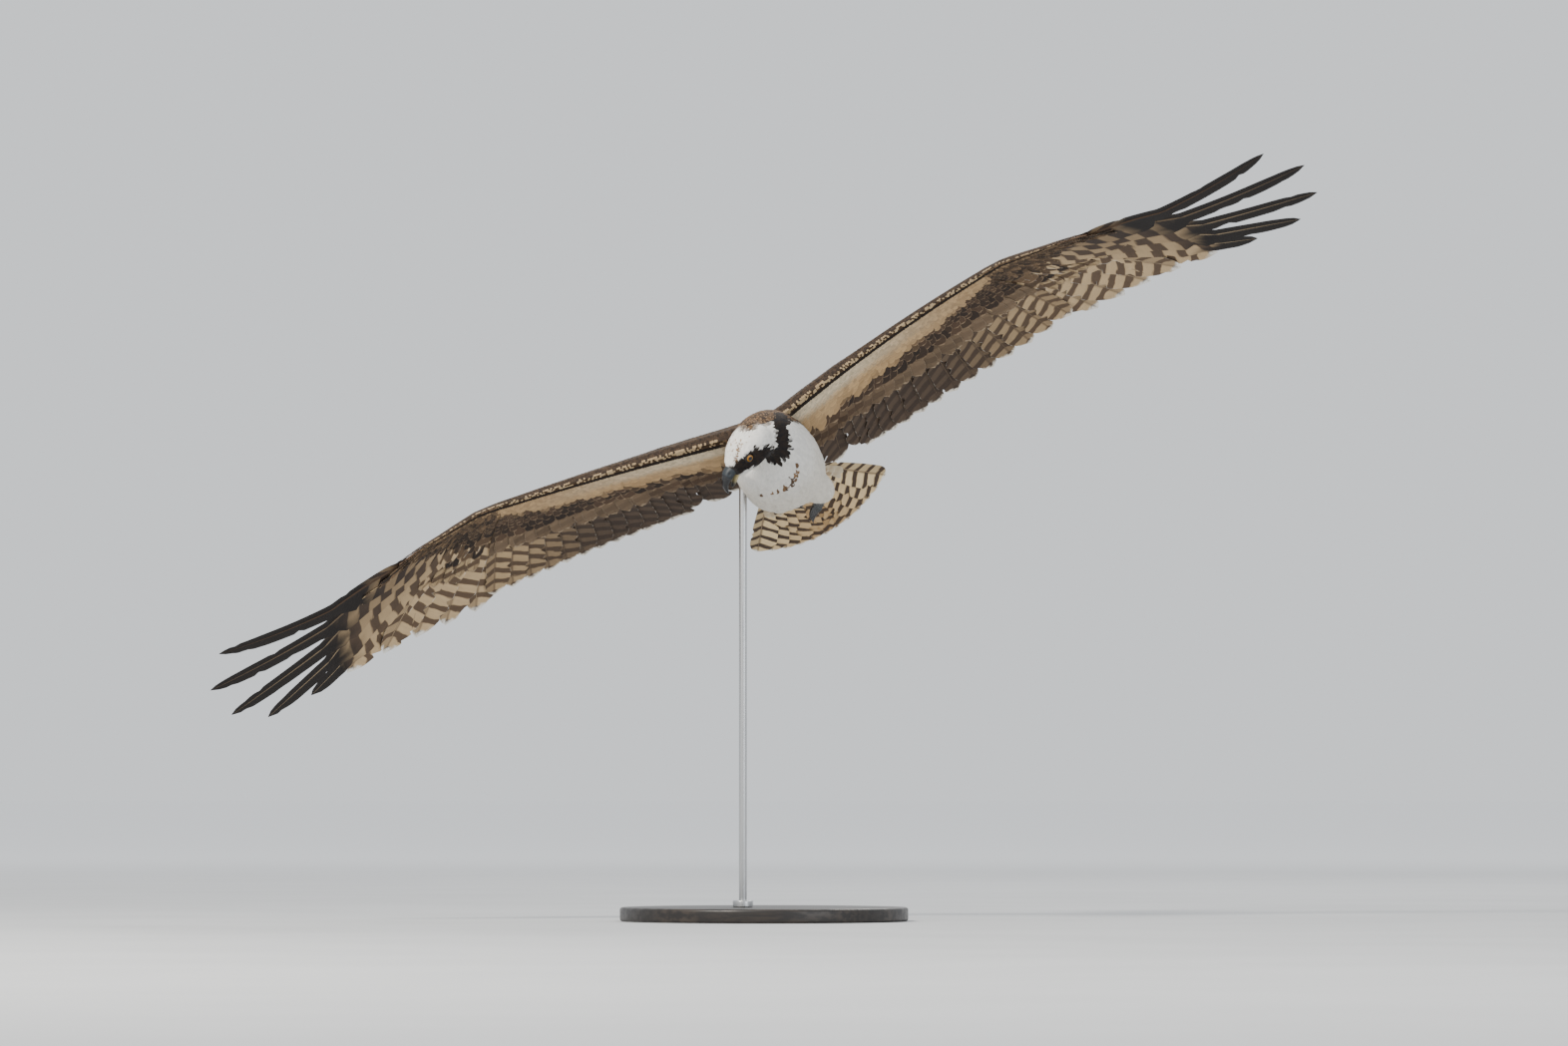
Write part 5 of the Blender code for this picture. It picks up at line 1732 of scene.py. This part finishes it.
def make_coat(form, skin_surface, skin_uv):
    """Contour feathers over trunk, neck, head and thighs, as pieces by region."""
    spots, normals, _, _ = form.settle(scattered(form, coat_spacing, keep_for_coat))
    lie = coat_lie(spots, normals)
    gap = coat_spacing(spots)
    from_bill = np.linalg.norm(spots - BILL_ROOT, axis=1)
    length = along(LENGTH_RATIO, from_bill) * gap * rng.uniform(0.9, 1.12, len(gap))
    for side in (1, -1):
        off = np.linalg.norm(spots - eye_point(side), axis=1)
        length = length * blend(0.62, 1.0, smooth_step(0.009, 0.014, off))
    width = gap * WIDTH_RATIO * rng.uniform(0.88, 1.12, len(gap))
    chance = rng.uniform(size=len(gap))
    twist = rng.normal(0, 0.10, len(gap))[:, None]
    lie = unit(np.cos(twist) * lie + np.sin(twist) * np.cross(normals, lie))
    side_way = np.cross(normals, lie)
    shown = spots + lie * (SHOWN_SHARE * length)[:, None]
    ground, rim, rim_width = body_colours(shown, chance)
    _, _, skin_face, weights = skin_surface.settle(spots)
    loops = skin_surface.loops[skin_face]
    place = sum(skin_uv[loops[:, j]] * weights[:, j:j + 1] for j in range(3))
    corner = np.clip(place - BAKE_PATCH / 2, 0.001, 0.996)
    patch = np.concatenate((corner, np.full((len(place), 2), BAKE_PATCH)), axis=1)
    patches = np.repeat(patch[:, None], 2, axis=1)
    for name, chosen, rows, columns, slope, thickness in coat_regions(from_bill, in_trunk(spots)):
        which = np.nonzero(chosen)[0]
        n = len(which)
        share, x = vane_grid(rows, columns)
        lengths, wide = each(length[which], width[which])
        across = x * (covert_outline(share) * wide / 2)
        split = np.where(np.arange(columns) % 2 == 0, -0.02, 0.02)
        ends = split + 0.03 * rng.standard_normal((n, 1, columns))
        fringe = 1 + ends * share ** 3
        reach = share * lengths * fringe * (1 - 0.07 * x ** 2 * share ** 2)
        flat = (spots[which][:, None, None] + lie[which][:, None, None] * reach[..., None]
                + side_way[which][:, None, None] * across[..., None])
        laid, up, _, _ = form.settle(flat)
        lift = slope * (reach - 0.92 * lengths) + COAT_ROLL * across
        lift = lift - COAT_CROWN * across ** 2 / wide - 0.0002
        style = np.stack((np.zeros(n), np.ones(n), rim_width[which]), axis=1)
        looks = dict(ground=ground[which], second=ground[which], rim=rim[which], style=style,
                     random=chance[which])
        piece = Vanes(name)
        piece.add(laid + up * lift[..., None], up, thickness, share, x, looks, patches[which])
        piece.build(COAT)


# Skin

def make_skin():
    """One skin under the whole coat, with lids round the eyes, and its own unwrap."""
    mesh = fused(joined("flesh", flesh_parts(TRUNK_COAT, HEAD_COAT, True)), SKIN_VOXEL, 4)
    for side in (1, -1):
        refined(mesh, eye_point(1.3 * side), 0.015, 3)
    shape_head(mesh, True)
    mesh.name = "skin"
    skin = linked("skin", mesh)
    shade_smooth(mesh)
    bpy.context.view_layer.objects.active = skin
    skin.select_set(True)
    bpy.ops.object.mode_set(mode="EDIT")
    bpy.ops.mesh.select_all(action="SELECT")
    bpy.ops.uv.smart_project(angle_limit=radians(70), island_margin=0.004)
    bpy.ops.object.mode_set(mode="OBJECT")
    mesh.uv_layers[0].name = "OFBake"
    skin.select_set(False)
    points = mesh_points(mesh)
    ground, _, _ = body_colours(points, np.full(len(points), 0.5))
    for wing in wings.values():
        near = (points - wing.shoulder) @ wing.out
        ground = np.where((near > 0.02)[:, None], BROWN * 2, ground)
    add_attribute(mesh, "ground", "FLOAT_COLOR", "POINT", with_alpha(ground))
    uv = np.empty(len(mesh.loops) * 2)
    mesh.uv_layers["OFBake"].data.foreach_get("uv", uv)
    mesh.materials.append(skin_material())
    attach(skin, "root")
    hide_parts("trunk", "neck", "head", "thigh_left", "thigh_right")
    for name in wings:
        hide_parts(*["wing_%s_%s" % (name, part) for part in ("upper_arm", "forearm", "hand")])
    return Surface(mesh), uv.reshape(-1, 2)


def skin_material():
    made, g, shader = new_material("skin")
    place = g.place()
    grain = g.noise(place, 900.0, 3.0)
    spots = g.noise(place, 160.0, 2.0)
    colour = g.shaded(g.attribute("ground", "Color"), g.sway(0.86, spots, 0.3))
    g.feed(shader.inputs["Base Color"], colour)
    g.feed(shader.inputs["Normal"], g.bump(grain, 0.4, 0.0004))
    shader.inputs["Roughness"].default_value = 0.75
    return made


def make_body():
    form_mesh = fused(joined("form", flesh_parts(0.0, 0.0, False)), FORM_VOXEL, 6)
    shape_head(form_mesh, False)
    form = Surface(form_mesh)
    skin_surface, skin_uv = make_skin()
    make_coat(form, skin_surface, skin_uv)


# Eyes

EYE_SEGMENTS = 48
EYE_RINGS = 30
# Angles of the pupil's and the iris's edge from the middle of the eye
PUPIL = 0.38
IRIS = 0.70


def make_eyes():
    """Two eyeballs with a cornea; the attribute eye holds the angle from the pupil and round it."""
    vertices = []
    faces = []
    looks = []
    for side in (1, -1):
        centre = eye_point(side)
        axis = unit(HEAD_LEFT * side + 0.22 * HEAD_FORWARD - 0.05 * HEAD_UP)
        first = unit(np.cross(axis, HEAD_UP))
        second = np.cross(axis, first)
        base = len(vertices)
        for i in range(EYE_RINGS + 1):
            polar = pi * (i / EYE_RINGS) ** 1.15
            radius = EYE_RADIUS - 0.0002 + 0.00015 * smooth_step(0.85, 0.45, polar)
            for j in range(EYE_SEGMENTS):
                angle = 2 * pi * j / EYE_SEGMENTS
                ring = cos(angle) * first + sin(angle) * second
                vertices.append(centre + radius * (cos(polar) * axis + sin(polar) * ring))
                looks.append((polar, cos(angle), sin(angle)))
        for i in range(EYE_RINGS):
            for j in range(EYE_SEGMENTS):
                k = (j + 1) % EYE_SEGMENTS
                row = base + i * EYE_SEGMENTS
                faces.append((row + j, row + EYE_SEGMENTS + j, row + EYE_SEGMENTS + k, row + k))
    eyes = object_of("eyes", vertices, faces, eye_material())
    add_attribute(eyes.data, "eye", "FLOAT_VECTOR", "POINT", np.array(looks))
    turn_outward(eyes.data, 1e-7)
    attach(eyes, "root")
    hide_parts("eye_left", "eye_right")


def eye_material():
    made, g, shader = new_material("eye")
    polar, x, y = g.split(g.attribute("eye"))
    streak = g.stretched_noise((x, y, polar), (9.0, 9.0, 1.5), 3.0)
    iris = g.mix(g.ramp(streak, 0.35, 0.65), (0.20, 0.075, 0.003, 1), (0.42, 0.20, 0.010, 1))
    inner = g.ramp(polar, PUPIL, PUPIL + 0.12)
    iris = g.mix(inner, (0.11, 0.032, 0.003, 1), iris)
    rim = g.ramp(polar, IRIS - 0.10, IRIS)
    outside = g.mix(g.ramp(streak, 0.3, 0.7), (0.012, 0.010, 0.010, 1), (0.03, 0.022, 0.018, 1))
    colour = g.mix(rim, iris, outside)
    pupil = g.ramp(polar, PUPIL - 0.02, PUPIL + 0.02)
    colour = g.mix(pupil, (0.004, 0.004, 0.004, 1), colour)
    g.feed(shader.inputs["Base Color"], colour)
    g.feed(shader.inputs["Normal"], g.bump(streak, 0.15, 0.0002))
    shader.inputs["Roughness"].default_value = 0.25
    shader.inputs["Specular IOR Level"].default_value = 0.15
    shader.inputs["Coat Weight"].default_value = 0.7
    shader.inputs["Coat Roughness"].default_value = 0.02
    return made


# Bill

def spline(points, t):
    """Smooth curve through a short row of points."""
    points = np.array(points)
    place = t * (len(points) - 1)
    k = min(int(place), len(points) - 2)
    f = place - k
    p0 = points[max(k - 1, 0)]
    p1 = points[k]
    p2 = points[k + 1]
    p3 = points[min(k + 2, len(points) - 1)]
    return 0.5 * (2 * p1 + (p2 - p0) * f + (2 * p0 - 5 * p1 + 4 * p2 - p3) * f ** 2
                  + (3 * p1 - p0 - 3 * p2 + p3) * f ** 3)


# Places along the bill as shares of its run, and round it
CERE_END = 0.30
NOSTRIL = 0.20
NOSTRIL_ANGLES = (radians(28), radians(152))
NOSTRIL_DEPTH = 0.0016


def nostril(count, t, half_turn, half_run):
    """Depth of the nostrils round a ring of the bill, from 0 to 1."""
    angle = 2 * pi * np.arange(count) / count
    sides = np.min([np.abs(angle - middle) for middle in NOSTRIL_ANGLES], axis=0)
    return np.exp(-(sides / half_turn) ** 2 - ((t - NOSTRIL) / half_run) ** 2)


def bill_half(top_edge, low_edge, half_widths, steps, count, upper):
    """Rings of one half of the bill, with its cere and nostrils, and the run of each ring."""
    rings = []
    runs = []
    for k in range(-3, steps):
        t = max(k, 0) / (steps - 1)
        back = -0.0010 * min(k, 0)
        forward_top, up_top = spline(top_edge, t)
        forward_low, up_low = spline(low_edge, t)
        top = head_point(forward_top - back, 0.0, up_top)
        low = head_point(forward_low - back, 0.0, up_low)
        half = np.linalg.norm(top - low) / 2
        width = float(np.interp(t, np.linspace(0, 1, len(half_widths)), half_widths))
        rise = unit(top - low)
        ring = oval((top + low) / 2, HEAD_LEFT, rise, width, half, half, 2.1, count)
        if upper:
            step = smooth_step(CERE_END + 0.03, CERE_END - 0.02, t) * 0.00035
            crease = 0.0004 * np.exp(-((t - CERE_END - 0.02) / 0.025) ** 2)
            outward = unit(ring - (top + low) / 2)
            pit = nostril(count, t, 0.20, 0.05)
            ring = ring + outward * (step - crease - NOSTRIL_DEPTH * pit)[:, None]
        rings.append(ring)
        runs.append(t)
    return rings, runs


def make_bill():
    made_parts = []
    looks = []
    for halves, upper in (((CULMEN, UPPER_EDGE, UPPER_HALF_WIDTH, 60, 44), True),
                          ((LOWER_EDGE, KEEL, LOWER_HALF_WIDTH, 30, 28), False)):
        rings, runs = bill_half(*halves, upper)
        made_parts.append(ring_mesh(rings))
        count = halves[4]
        for t in runs:
            # The third value is the nostril depth, which the bill's colour turns into painted shade
            pit = nostril(count, t, 0.16, 0.04) if upper else np.zeros(count)
            looks += [(t, float(upper), value) for value in pit]
        looks += [(runs[0], float(upper), 0.0), (runs[-1], float(upper), 0.0)]
    bill = joined("bill", made_parts)
    bill.data.materials.append(bill_material())
    add_attribute(bill.data, "horn", "FLOAT_VECTOR", "POINT", np.array(looks))
    turn_outward(bill.data)
    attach(bill, "root")
    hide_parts("bill_upper", "bill_lower")


def bill_material():
    made, g, shader = new_material("bill")
    run, upper, pit = g.split(g.attribute("horn"))
    place = g.place()
    grain = g.noise(place, 700.0, 3.0)
    cloud = g.noise(place, 150.0, 2.0)
    horn = g.mix(cloud, (0.006, 0.006, 0.007, 1), (0.016, 0.016, 0.018, 1))
    cere = g.mix(cloud, (0.007, 0.011, 0.015, 1), (0.016, 0.023, 0.030, 1))
    low = g.mix(g.ramp(run, 0.30, 0.75), (0.38, 0.31, 0.15, 1), (0.030, 0.028, 0.026, 1))
    top = g.mix(g.ramp(run, CERE_END - 0.03, CERE_END + 0.03), cere, horn)
    colour = g.mix(upper, low, top)
    # Painted shade: the nostril pits are painted near black, standing in for the shade inside the
    # openings
    colour = g.mix(g.ramp(pit, 0.25, 0.6), colour, (0.004, 0.004, 0.004, 1))
    g.feed(shader.inputs["Base Color"], colour)
    g.feed(shader.inputs["Roughness"], g.ramp(run, CERE_END - 0.03, CERE_END + 0.05, 0.55, 0.24))
    g.feed(shader.inputs["Normal"], g.bump(grain, 0.25, 0.0002))
    return made


# Feet and claws

SHANK_STEPS = 30
SHANK_TAPER = (1.10, 0.94, 1.04, 0.86)
TOE_TAPER = (0.82, 0.94, 0.86, 0.86, 0.58)
TOE_STEPS = 26
# Swellings under a toe and their height
TOE_PADS = 3
PAD_HEIGHT = 0.00022
# A claw's rows, its widest radius, and shares of that from root to tip
CLAW_STEPS = 19
CLAW_RADIUS = 0.0023
CLAW_TAPER = (0.9, 1.0, 0.85, 0.65, 0.42, 0.08)
FOOT_VOXEL = 0.00075


def tube_rings(points, radii, across, count):
    rings = []
    for k, (point, radius) in enumerate(zip(points, radii)):
        heading = unit(points[min(k + 1, len(points) - 1)] - points[max(k - 1, 0)])
        side = unit(np.cross(heading, across))
        up = np.cross(side, heading)
        rings.append(oval(point, side, up, radius, radius, radius, 2.0, count))
    return rings


def tapered(radius, taper, steps):
    """Radii along a path, from shares of one radius at even places."""
    radii = [radius * share for share in taper]
    return np.interp(np.linspace(0, 1, steps), np.linspace(0, 1, len(taper)), radii)


def smooth_path(points, steps):
    """More points along a short path, rounded through its corners."""
    return [spline(points, t) for t in np.linspace(0, 1, steps)]


def leg_paths(name):
    """Shank, toe and claw paths of one leg, as in the solids."""
    curl = LEG_TUCK[name][3]

    def place(forward, out, up):
        return leg_point(name, forward, out, up)

    knee, ankle = (place(*row) for row in SHANK)
    shank = [knee, blend(knee, ankle, 0.5), ankle, place(*FOOT)]
    toes = []
    claws = []
    for spread in TOE_SPREAD:
        start = place(FOOT[0] + 0.2 * spread + 0.003, FOOT[1], FOOT[2] - 0.001)
        knuckle = place(FOOT[0] + 0.9 * spread, FOOT[1] - 0.012, FOOT[2] - 0.016 * curl)
        tip = place(FOOT[0] + 0.9 * spread + 0.002, FOOT[1] - 0.0245, FOOT[2] - 0.0250 * curl)
        path = [(1 - t) ** 2 * start + 2 * t * (1 - t) * knuckle + t ** 2 * tip
                for t in np.linspace(0, 1, 5)]
        toes.append(path)
        heading = unit(path[-1] - path[-2])
        down = unit(np.dot(TRUNK_UP, heading) * heading - TRUNK_UP)
        claws.append([path[-1] + heading * (CLAW_GAP + CLAW_LENGTH * sin(0.25 * step))
                      + down * CLAW_LENGTH * (1 - cos(0.25 * step)) * curl
                      for step in np.linspace(-0.5, 4, CLAW_STEPS)])
    return shank, toes, claws


def make_leg(name):
    shank, toes, claws = leg_paths(name)
    radii = tapered(SHANK_RADIUS, SHANK_TAPER, SHANK_STEPS)
    parts = [ring_mesh(tube_rings(smooth_path(shank, SHANK_STEPS), radii, TRUNK_UP, 20))]
    radii = tapered(TOE_RADIUS, TOE_TAPER, TOE_STEPS)
    radii = radii + PAD_HEIGHT * np.sin(np.linspace(0, TOE_PADS * 2 * pi, TOE_STEPS))
    for toe in toes:
        parts.append(ring_mesh(tube_rings(smooth_path(toe, TOE_STEPS), radii, TRUNK_FORWARD, 16)))
    mesh = fused(joined("foot", parts), FOOT_VOXEL, 2)
    mesh.name = "foot_%s_skin" % name
    foot = linked(mesh.name, mesh)
    shade_smooth(mesh)
    mesh.materials.append(SCALES)
    points = mesh_points(mesh)
    start = shank[-1]
    share = smooth_step(0.002, 0.018, np.linalg.norm(points - start, axis=1)
                        * (dot(points - start, unit(toes[1][-1] - start)) > 0.002))
    add_attribute(mesh, "toe", "FLOAT", "POINT", share)
    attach(foot, "root")
    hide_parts("foot_" + name)
    radii = tapered(CLAW_RADIUS, CLAW_TAPER, CLAW_STEPS)
    horns = [ring_mesh(tube_rings(claw, radii, TRUNK_FORWARD, 14)) for claw in claws]
    claw_piece = joined("claws_" + name, horns)
    claw_piece.data.materials.append(HORN)
    turn_outward(claw_piece.data)
    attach(claw_piece, "root")
    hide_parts(*["claw_%s_%d" % (name, k) for k in range(1, 5)])


def scale_material():
    made, g, shader = new_material("leg_scales")
    place = g.place()
    cells = g.put("ShaderNodeTexVoronoi", feature="DISTANCE_TO_EDGE")
    g.feed(cells.inputs["Vector"], place)
    cells.inputs["Scale"].default_value = 620.0
    crease = g.ramp(cells.outputs["Distance"], 0.02, 0.22)
    cloud = g.noise(place, 240.0, 3.0)
    toe = g.attribute("toe", "Fac")
    pale = g.mix(cloud, (0.30, 0.34, 0.33, 1), (0.44, 0.47, 0.44, 1))
    dark = g.mix(cloud, (0.06, 0.065, 0.065, 1), (0.15, 0.155, 0.15, 1))
    colour = g.mix(toe, pale, dark)
    # Painted shade: the grooves between the scales are painted much darker than the scales
    colour = g.mix(crease, g.mix(toe, (0.10, 0.10, 0.09, 1), (0.03, 0.03, 0.03, 1)), colour)
    g.feed(shader.inputs["Base Color"], colour)
    height = g.math("MULTIPLY_ADD", cloud, 0.25, crease)
    g.feed(shader.inputs["Normal"], g.bump(height, 0.8, 0.0006))
    shader.inputs["Roughness"].default_value = 0.55
    return made


def horn_material():
    made, g, shader = new_material("claw_horn")
    place = g.place()
    colour = g.mix(g.noise(place, 260.0, 3.0), (0.008, 0.008, 0.009, 1), (0.040, 0.036, 0.034, 1))
    g.feed(shader.inputs["Base Color"], colour)
    g.feed(shader.inputs["Normal"], g.bump(g.noise(place, 1200.0, 2.0), 0.2, 0.0001))
    shader.inputs["Roughness"].default_value = 0.22
    return made


SCALES = scale_material()
HORN = horn_material()


# Stand

def lathe(name, profile, centre, count, material):
    """Solid of revolution about an upright axis from (radius, height) pairs."""
    angle = 2 * pi * np.arange(count) / count
    rings = [np.stack((centre[0] + radius * np.cos(angle), centre[1] + radius * np.sin(angle),
                       np.full(count, height)), axis=1) for radius, height in profile]
    made = object_of(name, *ring_mesh(rings), material)
    turn_outward(made.data)
    made.data.set_sharp_from_angle(angle=radians(40))
    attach(made, "root")
    return made


def rounded(radius, low, high, edge, steps=6):
    """Profile of a disc with rounded upper and lower edges."""
    angles = [pi / 2 * k / steps for k in range(steps + 1)]
    return ([(radius - edge * (1 - sin(a)), low + edge * (1 - cos(a))) for a in angles]
            + [(radius - edge * (1 - cos(a)), high - edge * (1 - sin(a))) for a in angles])


def make_stand():
    base = lathe("display_base", rounded(BASE_RADIUS, 0.0, BASE_HEIGHT, 0.0035), (0.0, 0.0), 128,
                 wood_material())
    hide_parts("stand_base")
    steel = steel_material()
    rod_low = BASE_HEIGHT - SOCKET_DEPTH
    rod = lathe("display_rod", rounded(ROD_RADIUS, rod_low, ROD_TOP, 0.0006), ROD_PLACE, 40, steel)
    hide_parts("stand_rod")
    collar_low = BASE_HEIGHT + 0.0004
    collar = lathe("display_collar", rounded(COLLAR_RADIUS, collar_low, BASE_HEIGHT + COLLAR_HEIGHT,
                                             0.0012), ROD_PLACE, 56, steel)
    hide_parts("stand_collar")


def wood_material():
    made, g, shader = new_material("stained_wood")
    x, y, z = g.split(g.place())
    long_grain = g.stretched_noise((x, y, z), (9.0, 150.0, 150.0), 5.0, 0.6)
    rings = g.stretched_noise((x, y, z), (1.6, 22.0, 1.0))
    tone = g.mix(g.ramp(rings, 0.35, 0.65), (0.016, 0.012, 0.010, 1), (0.034, 0.025, 0.019, 1))
    colour = g.mix(g.ramp(long_grain, 0.42, 0.60), (0.009, 0.007, 0.006, 1), tone)
    g.feed(shader.inputs["Base Color"], colour)
    g.feed(shader.inputs["Roughness"], g.ramp(long_grain, 0.3, 0.7, 0.48, 0.34))
    g.feed(shader.inputs["Normal"], g.bump(long_grain, 0.30, 0.0004))
    return made


def steel_material():
    made, g, shader = new_material("brushed_steel")
    brush = g.stretched_noise(g.split(g.place()), (900.0, 900.0, 14.0), 3.0)
    g.feed(shader.inputs["Base Color"], g.mix(brush, (0.42, 0.43, 0.44, 1), (0.62, 0.62, 0.62, 1)))
    g.feed(shader.inputs["Roughness"], g.ramp(brush, 0.3, 0.7, 0.30, 0.44))
    g.feed(shader.inputs["Normal"], g.bump(brush, 0.15, 0.0001))
    shader.inputs["Metallic"].default_value = 1.0
    return made


# Tail coverts

# Rows of tail coverts: start, length and width in metres, and number
TAIL_COVERT_ROWS = ((0.036, 0.040, 0.013, 15), (0.022, 0.038, 0.013, 14),
                    (0.008, 0.036, 0.012, 12), (-0.006, 0.034, 0.012, 11),
                    (-0.020, 0.034, 0.011, 10))


TAIL_COVERT_UPPER = np.array((0.30, 0.22, 0.15))
TAIL_COVERT_LOWER = np.array((0.66, 0.56, 0.41))
TAIL_COVERT_CREAM = (0.60, 0.49, 0.34)
TAIL_COVERT_BROWN = (0.30, 0.20, 0.11)


def tail_covert_looks(face, chance):
    """Colours of tail coverts: brown above, cream and buff below."""
    number = len(chance)
    if face > 0:
        ground = tint(DARK * 1.1, BROWN * 1.1, chance)
        rim = TAIL_COVERT_UPPER
    else:
        ground = tint(TAIL_COVERT_CREAM, TAIL_COVERT_BROWN, chance ** 1.5)
        rim = TAIL_COVERT_LOWER
    return dict(ground=ground, second=np.tile(TAWNY, (number, 1)), rim=np.tile(rim, (number, 1)),
                style=np.tile((0.1 if face > 0 else 0.25, 2.0, 0.14), (number, 1)), random=chance)


def make_tail_coverts():
    """Rows of soft feathers that bridge the rump and vent to the tail, above and below."""
    piece = Vanes("tail_coverts")
    t, x = vane_grid(9, 7)
    for face in (1, -1):
        for start, length, width, number in TAIL_COVERT_ROWS:
            shares = np.linspace(-0.86, 0.86, number) + rng.normal(0, 0.03, number)
            chance = rng.uniform(size=number)
            lengths = length * rng.uniform(0.92, 1.08, number)[:, None, None]
            across = x * (covert_outline(t, 0.6) * width / 2) * np.ones((number, 1, 1))
            reach = start + t * lengths * (1 - 0.05 * x ** 2 * t ** 2)
            place = np.broadcast_to(shares[:, None, None], reach.shape)
            point, up = tail.at(place, reach, across)
            from_end = np.clip((0.050 - reach) / 0.075, 0, 1)
            room = 0.0016 + 0.0052 * from_end ** 1.5 * (1 - 0.5 * place ** 2)
            lift = room - 0.0008 * (1 - t) - 0.22 * across ** 2 / width
            point = point + up * (face * lift)[..., None]
            u = 0.05 + 0.9 * (shares + 1) / 2
            v = (0.55 if face > 0 else 0.05) + 4 * (start + 0.025)
            corner = np.stack([u] + [np.full(number, value) for value in (v, 0.03, 0.03)], axis=1)
            piece.add(point, up * face, COVERT_THICKNESS, t, x, tail_covert_looks(face, chance),
                      np.repeat(corner[:, None], 2, axis=1))
    piece.build(COAT)


for wing in wings.values():
    make_primaries(wing)
    make_secondaries(wing)
    make_coverts(wing, 1)
    make_coverts(wing, -1)
make_tail()
make_tail_coverts()
make_body()
make_eyes()
make_bill()
for leg in LEG_TUCK:
    make_leg(leg)
make_stand()


# Camera, light and floor

def aim(item, target):
    direction = Vector(target) - item.location
    item.rotation_euler = direction.to_track_quat("-Z", "Y").to_euler()


def make_camera():
    data = bpy.data.cameras.new("camera")
    data.sensor_width = SENSOR_WIDTH
    data.lens = FOCAL_PIXELS / PHOTO_WIDTH * SENSOR_WIDTH
    data.clip_end = 100.0
    camera = linked("camera", data)
    camera.location = CAMERA_PLACE
    aim(camera, CAMERA_AIM)
    bpy.context.scene.camera = camera


def area_light(name, place, target, size, power, colour):
    data = bpy.data.lights.new(name, "AREA")
    data.shape = "DISK"
    data.size = size
    data.energy = power
    data.color = colour
    light = linked(name, data)
    light.location = place
    aim(light, target)


# Lamps: place, width, power and colour
LAMPS = {"key": ((-2.6, -3.2, 3.6), 0.9, 380, (1.0, 0.95, 0.87)),
         "fill": ((3.0, -3.5, 0.7), 2.5, 50, (0.92, 0.96, 1.0)),
         "back": ((1.2, 3.2, 3.0), 1.5, 70, (1.0, 0.98, 0.95))}
LAMP_AIM = (0.02, 0.0, 0.55)
SKY_COLOUR = (0.90, 0.93, 0.96, 1.0)
FLOOR_HALF = 40.0


def make_studio():
    world = bpy.data.worlds.new("studio")
    bpy.context.scene.world = world
    world.use_nodes = True
    background = world.node_tree.nodes["Background"]
    background.inputs["Color"].default_value = SKY_COLOUR
    background.inputs["Strength"].default_value = 1.0
    for name, (place, size, power, colour) in LAMPS.items():
        area_light(name, place, LAMP_AIM, size, power, colour)
    material, g, shader = new_material("studio_floor")
    place = g.place()
    grain = g.noise(place, 3.0, 3.0)
    # Painted light: the floor is grey near the stand and turns near white with distance, so that the
    # far floor, which the lamps barely light, is as pale as the sky
    near = g.mix(g.ramp(grain, 0.3, 0.7), (0.46, 0.47, 0.48, 1), (0.49, 0.50, 0.51, 1))
    away = g.ramp(g.vectors("LENGTH", place, part="Value"), 1.5, 9.0)
    g.feed(shader.inputs["Base Color"], g.mix(away, near, (0.97, 0.975, 0.98, 1)))
    shader.inputs["Roughness"].default_value = 0.9
    corners = [(x * FLOOR_HALF, y * FLOOR_HALF, 0) for x, y in ((-1, -1), (1, -1), (1, 1), (-1, 1))]
    floor = object_of("studio_floor", corners, [(0, 1, 2, 3)], material, False)


make_camera()
make_studio()

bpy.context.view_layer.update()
